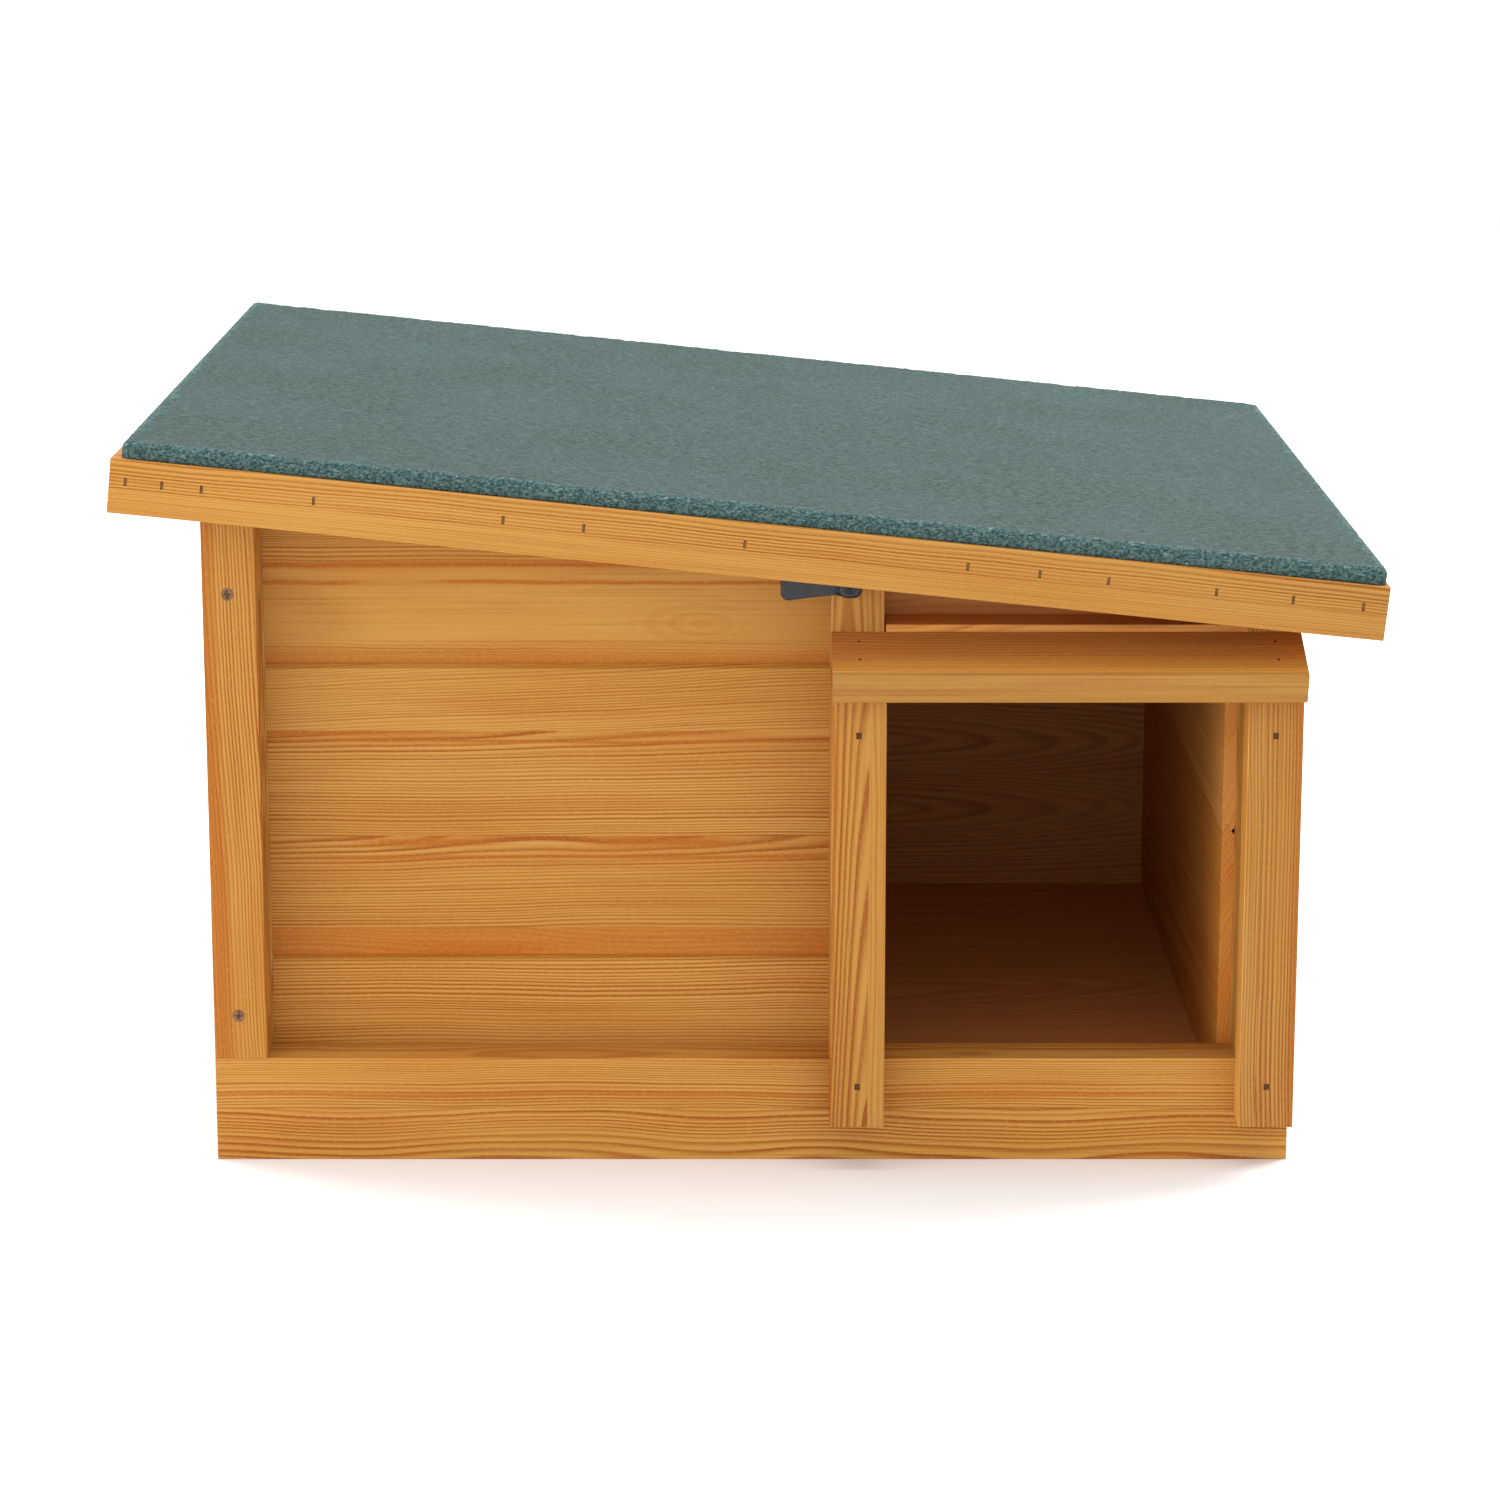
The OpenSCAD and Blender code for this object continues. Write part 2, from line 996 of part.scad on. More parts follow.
module hinge_pins() {
  color(steel)
    place_hinges()
      rotate([0, 90, 0]) {
        translate([0, 0, -hinge_l / 2 - pin_head_t])
          cylinder(r = pin_r, h = hinge_l + 2 * pin_head_t);
        for (end = [-hinge_l / 2 - pin_head_t, hinge_l / 2])
          translate([0, 0, end])
            cylinder(r = pin_head_r, h = pin_head_t);
      }
}

module hinge_wall_screws() {
  color(steel)
    place_wall_leaf_screws()
      screw(hinge_screw_l, hinge_screw_r, hinge_screw_head_r, leaf_t);
}

module hinge_roof_screws() {
  color(steel)
    place_roof_leaf_screws()
      screw(hinge_screw_l, hinge_screw_r, hinge_screw_head_r, leaf_t);
}

plinth_front();
plinth_back();
plinth_left();
plinth_right();
floor_panel();
floor_bearers();
front_bottom_rail();
front_left_stile();
front_mid_stile();
front_right_stile();
front_header_rail();
front_top_rail_left();
front_top_rail_right();
left_front_stile();
left_back_stile();
left_bottom_rail();
left_top_rail();
right_front_stile();
right_back_stile();
right_bottom_rail();
right_top_rail();
back_bottom_rail();
back_left_stile();
back_mid_stile();
back_right_stile();
back_top_rail();
front_board_lower();
front_board_middle();
front_board_upper();
front_board_over_entrance();
left_board_lower();
left_board_middle();
left_board_upper();
right_board_lower();
right_board_upper();
back_board_lower();
back_board_middle();
back_board_upper();
porch_post_mid();
porch_post_right();
canopy_board();
roof_deck();
roof_felt();
fascia_front();
fascia_back();
fascia_left();
fascia_right();
roof_batten_front();
roof_batten_back();
turn_button();
turn_button_screw();
frame_screws();
porch_nails();
canopy_nails();
fascia_nails();
hinge_wall_leaves();
hinge_roof_leaves();
hinge_pins();
hinge_wall_screws();
hinge_roof_screws();
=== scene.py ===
import math

import bmesh
import bpy
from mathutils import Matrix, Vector, noise


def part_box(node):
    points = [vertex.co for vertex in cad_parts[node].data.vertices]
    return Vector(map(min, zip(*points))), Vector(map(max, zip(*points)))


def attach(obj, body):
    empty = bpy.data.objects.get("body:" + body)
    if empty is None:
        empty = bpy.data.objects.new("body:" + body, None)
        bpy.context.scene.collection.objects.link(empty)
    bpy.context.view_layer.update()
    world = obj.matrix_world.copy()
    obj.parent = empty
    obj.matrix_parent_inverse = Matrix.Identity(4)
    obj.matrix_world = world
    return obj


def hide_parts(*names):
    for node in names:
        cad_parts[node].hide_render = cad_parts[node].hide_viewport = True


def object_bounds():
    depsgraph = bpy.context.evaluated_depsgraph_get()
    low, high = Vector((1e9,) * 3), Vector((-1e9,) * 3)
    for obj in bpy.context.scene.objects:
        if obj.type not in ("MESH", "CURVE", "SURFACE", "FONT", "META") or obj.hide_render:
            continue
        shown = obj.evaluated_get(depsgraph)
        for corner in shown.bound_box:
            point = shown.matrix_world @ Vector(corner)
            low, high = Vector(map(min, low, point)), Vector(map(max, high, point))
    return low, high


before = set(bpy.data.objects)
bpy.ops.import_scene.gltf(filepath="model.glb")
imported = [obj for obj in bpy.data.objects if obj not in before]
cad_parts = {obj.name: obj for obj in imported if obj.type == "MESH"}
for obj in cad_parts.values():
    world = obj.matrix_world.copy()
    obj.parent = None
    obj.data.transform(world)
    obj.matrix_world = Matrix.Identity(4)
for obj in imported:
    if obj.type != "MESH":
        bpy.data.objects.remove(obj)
cad_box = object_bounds()

MM = 0.001

# ---- Directions ----

ROOF_PITCH = math.radians(5.85)
ROOF_ORIGIN = Vector((0.0, 0.0, 418.4 * MM))
X_AXIS = Vector((1.0, 0.0, 0.0))
Y_AXIS = Vector((0.0, 1.0, 0.0))
Z_AXIS = Vector((0.0, 0.0, 1.0))
ROOF_U = Vector((math.cos(ROOF_PITCH), 0.0, -math.sin(ROOF_PITCH)))
ROOF_W = Vector((math.sin(ROOF_PITCH), 0.0, math.cos(ROOF_PITCH)))
CANOPY_PITCH = math.radians(20.6)  # as the canopy board slopes in the CAD model
CANOPY_DOWN = Vector((0.0, -math.cos(CANOPY_PITCH), -math.sin(CANOPY_PITCH)))


# ---- Shader building ----


def linear(red, green, blue):
    """A colour given as 0 to 255 display values, as the linear colour that a shader takes"""
    parts = []
    for value in (red, green, blue):
        share = value / 255.0
        if share <= 0.04045:
            parts.append(share / 12.92)
        else:
            parts.append(((share + 0.055) / 1.055) ** 2.4)
    return (parts[0], parts[1], parts[2], 1.0)


def shade(colour, factor):
    """A colour made lighter or darker"""
    return (colour[0] * factor, colour[1] * factor, colour[2] * factor, 1.0)


class Shader:
    """Builds the nodes of one material. Each method returns the output socket that it makes."""

    def __init__(self, name):
        self.material = bpy.data.materials.new(name)
        self.material.use_nodes = True
        self.tree = self.material.node_tree
        self.surface = self.tree.nodes["Principled BSDF"]
        texture_space = self.tree.nodes.new("ShaderNodeTexCoord")
        self.place = texture_space.outputs["Object"]
        self.normal = texture_space.outputs["Normal"]

    def put(self, socket, value):
        if isinstance(value, bpy.types.NodeSocket):
            self.tree.links.new(value, socket)
        else:
            socket.default_value = value

    def math(self, operation, first, second=0.0, third=0.0, clamp=False):
        node = self.tree.nodes.new("ShaderNodeMath")
        node.operation = operation
        node.use_clamp = clamp
        self.put(node.inputs[0], first)
        self.put(node.inputs[1], second)
        self.put(node.inputs[2], third)
        return node.outputs[0]

    def dot(self, vector, direction):
        node = self.tree.nodes.new("ShaderNodeVectorMath")
        node.operation = "DOT_PRODUCT"
        self.put(node.inputs[0], vector)
        node.inputs[1].default_value = direction
        return node.outputs["Value"]

    def scaled(self, vector, factors):
        node = self.tree.nodes.new("ShaderNodeVectorMath")
        node.operation = "MULTIPLY"
        self.put(node.inputs[0], vector)
        node.inputs[1].default_value = factors
        return node.outputs["Vector"]

    def scaled_colour(self, colour, factor):
        node = self.tree.nodes.new("ShaderNodeVectorMath")
        node.operation = "SCALE"
        self.put(node.inputs[0], colour)
        self.put(node.inputs["Scale"], factor)
        return node.outputs["Vector"]

    def combined(self, x, y, z):
        node = self.tree.nodes.new("ShaderNodeCombineXYZ")
        self.put(node.inputs[0], x)
        self.put(node.inputs[1], y)
        self.put(node.inputs[2], z)
        return node.outputs[0]

    def noise(self, vector, scale=1.0, detail=1.0, roughness=0.5, distortion=0.0):
        node = self.tree.nodes.new("ShaderNodeTexNoise")
        node.noise_dimensions = "3D"
        self.put(node.inputs["Vector"], vector)
        node.inputs["Scale"].default_value = scale
        node.inputs["Detail"].default_value = detail
        node.inputs["Roughness"].default_value = roughness
        node.inputs["Distortion"].default_value = distortion
        return node.outputs["Fac"]

    def line_noise(self, value, scale):
        node = self.tree.nodes.new("ShaderNodeTexNoise")
        node.noise_dimensions = "1D"
        self.put(node.inputs["W"], value)
        node.inputs["Scale"].default_value = scale
        node.inputs["Detail"].default_value = 0.0
        return node.outputs["Fac"]

    def hashed(self, value):
        node = self.tree.nodes.new("ShaderNodeTexWhiteNoise")
        node.noise_dimensions = "1D"
        self.put(node.inputs["W"], value)
        return node.outputs["Value"]

    def span(self, value, low, high, to_low=0.0, to_high=1.0):
        """A smooth step from to_low to to_high as the value goes from low to high"""
        node = self.tree.nodes.new("ShaderNodeMapRange")
        node.interpolation_type = "SMOOTHSTEP"
        node.clamp = True
        self.put(node.inputs["Value"], value)
        self.put(node.inputs["From Min"], low)
        self.put(node.inputs["From Max"], high)
        self.put(node.inputs["To Min"], to_low)
        self.put(node.inputs["To Max"], to_high)
        return node.outputs["Result"]

    def profile(self, value, stops):
        """A curve through (place, height) stops, for a value from 0 to 1"""
        node = self.tree.nodes.new("ShaderNodeValToRGB")
        ramp = node.color_ramp
        while len(ramp.elements) < len(stops):
            ramp.elements.new(0.5)
        for element, stop in zip(ramp.elements, stops):
            element.position = stop[0]
            element.color = (stop[1], stop[1], stop[1], 1.0)
        self.put(node.inputs["Fac"], value)
        return node.outputs["Color"]

    def blend(self, factor, first, second):
        node = self.tree.nodes.new("ShaderNodeMix")
        node.data_type = "RGBA"
        self.put(node.inputs[0], factor)
        self.put(node.inputs[6], first)
        self.put(node.inputs[7], second)
        return node.outputs[2]

    def bump(self, height, depth, strength=1.0):
        node = self.tree.nodes.new("ShaderNodeBump")
        node.inputs["Strength"].default_value = strength
        node.inputs["Distance"].default_value = depth
        self.put(node.inputs["Height"], height)
        self.put(self.surface.inputs["Normal"], node.outputs["Normal"])

    def finish(self, colour, roughness, **fixed):
        self.put(self.surface.inputs["Base Color"], colour)
        self.put(self.surface.inputs["Roughness"], roughness)
        for name, value in fixed.items():
            self.surface.inputs[name.replace("_", " ").title().replace("Ior", "IOR")].default_value = value
        return self.material


# ---- Stained pine ----

EARLYWOOD = linear(189, 136, 61)
LATEWOOD = linear(147, 77, 12)
ORANGE = linear(176, 98, 20)
HONEY = linear(195, 145, 72)
# Painted shade tint: a pinkish colour that stands for the reddish light in shaded places and inside the box.
SHADE_LIGHT_PINK = linear(196, 124, 90)

SWIRL_SQUASH = 0.38
SWIRL_TURNS = 3.3
SWIRL_BEND = 1.6
BAND_FADE = 7.0
BAND_FADE_EDGE = 0.12
RING_UNEVEN = 80.0
STAIN_PATCHES = 0.26
FIBRE_AMOUNT = 0.45
PORE_AMOUNT = 0.4
RELIEF_DEPTH = 0.35 * MM
WOOD_SPECULAR = 0.17

# How many times each noise repeats in a metre along the grain, over the face and into the timber
WANDER = (4.5, 7.0, 7.0)
SINK = (3.0, 5.0, 5.0)
RIPPLE = (24.0, 50.0, 50.0)
PATCHES = (3.0, 18.0, 18.0)
WARMTH = (2.5, 12.0, 12.0)
STAIN = (3.0, 30.0, 30.0)
FIBRES = (5.0, 750.0, 750.0)
PORES = (300.0, 1300.0, 1300.0)
RING_PROFILE = ((0.0, 0.6), (0.08, 0.08), (0.35, 0.0), (0.6, 0.45), (0.8, 1.0), (0.94, 1.0), (1.0, 0.6))

# The pinkish tint that a strip can take is painted shade: the reddish light of shaded places.
# What a strip of a board has where nothing else is said, in millimetres.
# from: its lower edge. pith: the middle of its rings along the face. depth: how far behind the face that is.
# taper and slope: how the pith sinks and drifts along the grain. bands: (centre, half width, strength, gaps).
# swirls: (along, across, half length, strength) of the rings round a hidden knot.
# The shade keys are painted light and shade: a factor that makes a strip lighter or darker for how the light
# falls on it, and how that factor changes in a metre along the grain.
# end: how dark its end grain is. log: strips of one log share their grain, and None is a log of its own.
STRIP = {
    "from": 0.0,
    "pith": 0.0,
    "depth": 45.0,
    "spacing": 2.0,
    "wave": 3.0,
    "ripple": 0.5,
    "slope": 0.0,
    "taper": 0.02,
    "contrast": 0.95,
    "orange": 0.05,
    "pink": 0.0,
    "shade": 1.0,
    "painted_light_run": 0.0,
    "end": 0.5,
    "log": None,
    "bands": (),
    "swirls": (),
}


def face_place(name, inward):
    """Where a node's outermost point lies against a direction into the timber, in metres"""
    low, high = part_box(name)
    nearest = 0.0
    for axis in range(3):
        nearest += min(low[axis] * inward[axis], high[axis] * inward[axis])
    return nearest


def along_strips(shader, edges, values):
    """A value that is constant within each strip of a glued board"""
    if all(value == values[0] for value in values):
        return values[0]
    total = values[0]
    for position in range(1, len(values)):
        total = shader.math("MULTIPLY_ADD", edges[position], values[position] - values[position - 1], total)
    return total


class Pine:
    """Pine with growth rings round a pith line that runs along the grain, behind the visible face.
    across is the direction over that face in which piths, bands and strip edges are measured."""

    def __init__(self, name, grain, across, inward, seed, strips):
        self.shader = Shader("pine_" + name)
        self.strips = [dict(STRIP, **strip) for strip in strips]
        self.logs = []
        for index, strip in enumerate(self.strips):
            self.logs.append(index if strip["log"] is None else strip["log"])
        self.grain = grain
        self.seed = seed
        shader = self.shader
        self.run = shader.dot(shader.place, grain)
        self.side = shader.dot(shader.place, across)
        self.into = shader.math("SUBTRACT", shader.dot(shader.place, inward), face_place(name, inward))
        self.edges = [1.0]
        for strip in self.strips[1:]:
            self.edges.append(shader.math("GREATER_THAN", self.side, strip["from"] * MM))
        shift = along_strips(shader, self.edges, [3.1 * log + 1.37 * seed for log in self.logs])
        self.along = shader.math("ADD", self.run, shift)
        self.here = shader.combined(self.along, self.side, self.into)

    def value(self, key, unit=1.0):
        """What the strips say for a key"""
        return along_strips(self.shader, self.edges, [strip[key] * unit for strip in self.strips])

    def drift(self, field, key, unit, start):
        """A place that wanders to both sides by a noise field"""
        shader = self.shader
        return shader.math("MULTIPLY_ADD", shader.math("SUBTRACT", field, 0.5), self.value(key, unit), start)

    def rings(self):
        """Lines where the rings cross the surface: a distance from a pith that wanders along the grain"""
        shader = self.shader
        self.wander = shader.noise(shader.scaled(self.here, WANDER), detail=1.5)
        sink = shader.noise(shader.scaled(self.here, SINK), scale=1.7, detail=1.0)
        ripple = shader.noise(shader.scaled(self.here, RIPPLE), detail=1.0)
        moved = shader.math("SUBTRACT", self.side, self.value("pith", MM))
        moved = self.drift(self.wander, "wave", 4 * MM, moved)
        moved = self.drift(ripple, "ripple", 2 * MM, moved)
        self.moved = shader.math("MULTIPLY_ADD", self.run, self.value("slope"), moved)
        depth = shader.math("SUBTRACT", self.into, self.value("depth", MM))
        depth = shader.math("MULTIPLY_ADD", self.run, self.value("taper", -1.0), depth)
        depth = self.drift(sink, "wave", 4 * MM, depth)
        squares = shader.math("MULTIPLY_ADD", self.moved, self.moved, shader.math("MULTIPLY", depth, depth))
        radius = shader.math("SQRT", squares)

        count = shader.math("DIVIDE", radius, self.value("spacing", MM))
        uneven = shader.line_noise(shader.math("ADD", radius, self.seed), RING_UNEVEN)
        count = shader.math("MULTIPLY_ADD", uneven, 2.0, count)
        ring = shader.math("FLOOR", count)
        boldness = shader.math("MULTIPLY_ADD", shader.hashed(shader.math("ADD", ring, self.seed)), 0.55, 0.5)
        return shader.math("MULTIPLY", shader.profile(shader.math("FRACT", count), RING_PROFILE), boldness)

    def early_wood(self):
        """The colour between the rings: warmer and paler zones, patches where more stain soaked in, and a
        painted pinkish tint for the light in shaded places
        """
        shader = self.shader
        warmth = shader.noise(shader.scaled(self.here, WARMTH), scale=1.3, detail=2.0)
        body = shader.blend(shader.span(warmth, 0.3, 0.7), EARLYWOOD, HONEY)
        stain = shader.noise(shader.scaled(self.here, STAIN), scale=1.7, detail=1.0)
        stain = shader.span(stain, 0.48, 0.72)
        stain = shader.math("MULTIPLY_ADD", stain, STAIN_PATCHES, self.value("orange"), clamp=True)
        body = shader.blend(stain, body, ORANGE)
        # Painted shade: blends towards the pinkish colour of the light in shaded places.
        return shader.blend(self.value("pink"), body, SHADE_LIGHT_PINK)

    def banded(self, colour):
        """Adds broad dark bands that fade in and out along the grain, like the first rings beside a pith"""
        shader = self.shader
        for index, strip in enumerate(self.strips):
            for number, (centre, half_width, strength, gaps) in enumerate(strip["bands"]):
                offset = (centre - strip["pith"]) * MM
                distance = shader.math("ABSOLUTE", shader.math("SUBTRACT", self.moved, offset))
                band = shader.span(distance, 0.0, half_width * MM, strength, 0.0)
                fade = shader.math("ADD", self.along, 7.7 * number + self.logs[index])
                fade = shader.line_noise(fade, BAND_FADE)
                fade = shader.span(fade, gaps - BAND_FADE_EDGE, gaps + BAND_FADE_EDGE)
                band = shader.math("MULTIPLY", band, fade)
                if index > 0:
                    band = shader.math("MULTIPLY", band, self.edges[index])
                if index + 1 < len(self.strips):
                    band = shader.math("MULTIPLY", band, shader.math("SUBTRACT", 1.0, self.edges[index + 1]))
                colour = shader.blend(band, colour, shader.blend(0.6, LATEWOOD, ORANGE))
        return colour

    def swirled(self, colour):
        """Adds the open rings round a knot that lies under the surface"""
        shader = self.shader
        for strip in self.strips:
            for centre_run, centre_side, half_length, strength in strip["swirls"]:
                offset = (centre_side - strip["pith"]) * MM
                reach_run = shader.math("SUBTRACT", self.run, centre_run * MM)
                reach_run = shader.math("DIVIDE", reach_run, half_length * MM)
                reach_side = shader.math("SUBTRACT", self.moved, offset)
                reach_side = shader.math("DIVIDE", reach_side, SWIRL_SQUASH * half_length * MM)
                squares = shader.math("MULTIPLY", reach_side, reach_side)
                squares = shader.math("MULTIPLY_ADD", reach_run, reach_run, squares)
                bend = shader.math("SUBTRACT", self.wander, 0.5)
                reach = shader.math("MULTIPLY_ADD", bend, SWIRL_BEND, shader.math("SQRT", squares))
                turn = shader.math("FRACT", shader.math("MULTIPLY", reach, SWIRL_TURNS))
                turn = shader.profile(turn, RING_PROFILE)
                swirl = shader.math("MULTIPLY", turn, shader.span(reach, 0.4, 1.0, strength, 0.0))
                swirl = shader.math("MULTIPLY", swirl, shader.span(reach_run, -0.1, 0.8, 1.0, 0.1))
                colour = shader.blend(swirl, colour, shader.blend(0.5, LATEWOOD, ORANGE))
        return colour

    def material(self):
        """The whole material, from the rings to the fibres"""
        shader = self.shader
        lines = self.rings()
        patch = shader.noise(shader.scaled(self.here, PATCHES), detail=2.0)
        figure = shader.math("MULTIPLY", lines, shader.span(patch, 0.35, 0.65, 0.75, 1.15))
        figure = shader.math("MULTIPLY", figure, self.value("contrast"), clamp=True)
        colour = shader.blend(figure, self.early_wood(), LATEWOOD)
        colour = self.swirled(self.banded(colour))

        # Fibres and pores, the darker stain that soaks into end grain, and the painted light and shade that
        # makes each strip lighter or darker
        fibre = shader.noise(shader.scaled(self.here, FIBRES), detail=2.0, roughness=0.7)
        pore = shader.noise(shader.scaled(self.here, PORES), detail=2.0, roughness=0.7)
        colour = shader.blend(shader.span(fibre, 0.45, 0.75, 0.0, FIBRE_AMOUNT), colour, LATEWOOD)
        colour = shader.blend(shader.span(pore, 0.45, 0.8, 0.0, PORE_AMOUNT), colour, shade(HONEY, 1.15))
        end_grain = shader.span(shader.math("ABSOLUTE", shader.dot(shader.normal, self.grain)), 0.5, 0.9)
        end_grain = shader.math("MULTIPLY", end_grain, self.value("end"))
        colour = shader.blend(end_grain, colour, shade(LATEWOOD, 0.85))
        # Painted light and shade: each strip's colour is scaled lighter or darker for how the light falls on
        # it, and along the grain for light that fades across the piece.
        light = shader.math("MULTIPLY_ADD", self.run, self.value("painted_light_run"), self.value("shade"))
        colour = shader.scaled_colour(colour, light)

        relief = shader.math("MULTIPLY_ADD", figure, 0.5, shader.math("MULTIPLY", fibre, 0.5))
        shader.bump(relief, RELIEF_DEPTH, 0.5)
        roughness = shader.math("MULTIPLY_ADD", fibre, 0.16, shader.math("MULTIPLY_ADD", figure, -0.08, 0.5))
        return shader.finish(colour, roughness, specular_ior_level=WOOD_SPECULAR)


def dress(material, *names):
    """Gives a material to CAD nodes"""
    for name in names:
        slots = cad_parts[name].data.materials
        slots.clear()
        slots.append(material)


def wood(name, grain, across, inward, seed, *strips):
    """Dresses one CAD node in its own pine"""
    dress(Pine(name, grain, across, inward, seed, strips).material(), name)


# How the logs of the plain timbers vary, in millimetres. Each name in a list takes the next value.
LOG_OFFSETS = (-24.0, 9.0, 31.0, -8.0, 18.0)
LOG_DEPTHS = (38.0, 22.0, 60.0, 30.0)
LOG_SPACINGS = (2.2, 1.7, 2.5)
LOG_TAPERS = (0.03, -0.05, 0.07, -0.02)


def timbers(names, grain, across, inward, **same):
    """Pine for timbers without a figure of their own to follow: each gets its own log"""
    for number, name in enumerate(names):
        low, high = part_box(name)
        middle = sum(abs(across[axis]) * (low[axis] + high[axis]) / 2 / MM for axis in range(3))
        strip = {
            "pith": middle + LOG_OFFSETS[number % len(LOG_OFFSETS)],
            "depth": LOG_DEPTHS[number % len(LOG_DEPTHS)],
            "spacing": LOG_SPACINGS[number % len(LOG_SPACINGS)],
            "taper": LOG_TAPERS[number % len(LOG_TAPERS)],
        }
        strip.update(same)
        wood(name, grain, across, inward, 11.0 + 2.3 * number + len(name), strip)


# Boards and timbers of the front, with the figure that each of them shows
POST_RIGHT_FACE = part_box("porch_post_right")[0][0] / MM + 0.4
wood(
    "front_board_upper", X_AXIS, Z_AXIS, Y_AXIS, 2.0,
    {
        "log": 0, "pith": 280.0, "depth": 20.0, "spacing": 1.6, "wave": 2.0, "contrast": 0.6,
        "bands": ((314.0, 16.0, 0.75, 0.1),),
    },
    {
        "from": 330.0, "log": 0, "pith": 346.0, "depth": 260.0, "spacing": 8.0, "wave": 2.0, "ripple": 1.1,
        "contrast": 0.25, "bands": ((377.0, 3.0, 1.0, 0.1), (366.0, 2.4, 0.9, 0.2)),
        "swirls": ((-32.0, 340.0, 44.0, 0.22),),
    },
    {
        "from": 379.0, "log": 0, "pith": 300.0, "depth": 30.0, "spacing": 1.9, "wave": 2.0, "contrast": 0.9,
        "bands": ((377.0, 4.0, 1.0, 0.1),),
    },
)
wood(
    "front_board_middle", X_AXIS, Z_AXIS, Y_AXIS, 5.0,
    {"pith": 110.0, "depth": 40.0, "spacing": 2.0, "contrast": 0.55, "orange": 0.75},
    {
        "from": 143.8, "pith": 206.0, "depth": 20.0, "spacing": 2.0, "wave": 2.6, "contrast": 1.1,
        "bands": ((201.0, 5.5, 0.9, 0.45), (191.0, 2.2, 0.8, 0.3)),
    },
    {
        "from": 203.7, "pith": 276.0, "depth": 20.0, "spacing": 2.0, "wave": 1.6, "contrast": 1.15,
        "bands": ((270.5, 4.5, 0.9, 0.5), (265.0, 1.8, 0.9, 0.0)),
    },
    {
        "from": 272.0, "pith": 345.0, "depth": 20.0, "spacing": 1.9, "wave": 3.0, "slope": -0.03,
        "contrast": 0.8,
    },
)
# Painted light: the lower board is made a little lighter for how the light falls on it.
wood(
    "front_board_lower", X_AXIS, Z_AXIS, Y_AXIS, 8.0,
    {
        "pith": 150.0, "depth": 18.0, "spacing": 2.2, "wave": 3.0, "contrast": 1.2, "orange": 0.1,
        "shade": 1.06,
    },
)
# Painted light and shade: the board over the entrance lies in shade and is made much lighter, with the
# pinkish shade tint.
wood(
    "front_board_over_entrance", X_AXIS, Z_AXIS, Y_AXIS, 3.0,
    {"pith": 370.0, "depth": 40.0, "spacing": 2.0, "contrast": 0.5, "pink": 0.35, "shade": 1.3},
)
# Painted light: the bottom rail is made a little lighter, its shaded top ledge with it.
wood(
    "front_bottom_rail", X_AXIS, Z_AXIS, Y_AXIS, 4.0,
    {
        "pith": 22.0, "depth": 9.0, "spacing": 1.9, "wave": 2.8, "taper": 0.0, "contrast": 1.0, "shade": 1.05,
        "bands": ((43.0, 2.6, 0.7, 0.3),),
    },
)
# Painted light: the plinth is made a little lighter for how the light falls on it.
wood(
    "plinth_front", X_AXIS, Z_AXIS, Y_AXIS, 6.0,
    {"pith": -2.0, "depth": 8.0, "spacing": 3.2, "wave": 6.0, "contrast": 1.15, "shade": 1.06},
)
# Painted light and shade: the header rail lies in shade and is made much lighter, with the pinkish shade
# tint.
wood(
    "front_header_rail", X_AXIS, Z_AXIS, Y_AXIS, 7.0,
    {"pith": 350.0, "depth": 30.0, "spacing": 1.8, "contrast": 0.6, "pink": 0.2, "shade": 1.5},
)
wood(
    "front_left_stile", Z_AXIS, X_AXIS, Y_AXIS, 9.0,
    {
        "pith": -358.0, "depth": 12.0, "spacing": 2.2, "wave": 2.2, "slope": 0.03, "contrast": 1.1,
        "orange": 0.5, "bands": ((-331.0, 10.0, 0.65, 0.2),),
    },
    {
        "from": -331.5, "log": 0, "pith": -358.0, "depth": 12.0, "spacing": 2.2, "wave": 2.2, "slope": 0.03,
        "contrast": 1.1, "bands": ((-331.0, 12.0, 0.75, 0.2),),
    },
)
wood(
    "front_mid_stile", Z_AXIS, X_AXIS, Y_AXIS, 10.0,
    {"pith": 58.0, "depth": 10.0, "spacing": 2.6, "wave": 2.0, "contrast": 0.9},
)
wood(
    "front_right_stile", Z_AXIS, X_AXIS, Y_AXIS, 12.0,
    {"pith": 340.0, "depth": 30.0, "spacing": 2.0, "contrast": 0.7},
)
# Painted shade: the post is made a little darker all over for how the light falls on it.
wood(
    "porch_post_mid", Z_AXIS, X_AXIS, Y_AXIS, 13.0,
    {
        "pith": 74.5, "depth": 12.6, "spacing": 2.5, "taper": 0.041, "wave": 1.5, "contrast": 1.3,
        "shade": 0.92, "bands": ((50.0, 1.5, 0.7, 0.2),),
    },
    {
        "from": 72.5, "log": 0, "pith": 61.0, "depth": 5.0, "spacing": 3.0, "wave": 2.2, "contrast": 0.4,
        "shade": 0.9,
    },
)
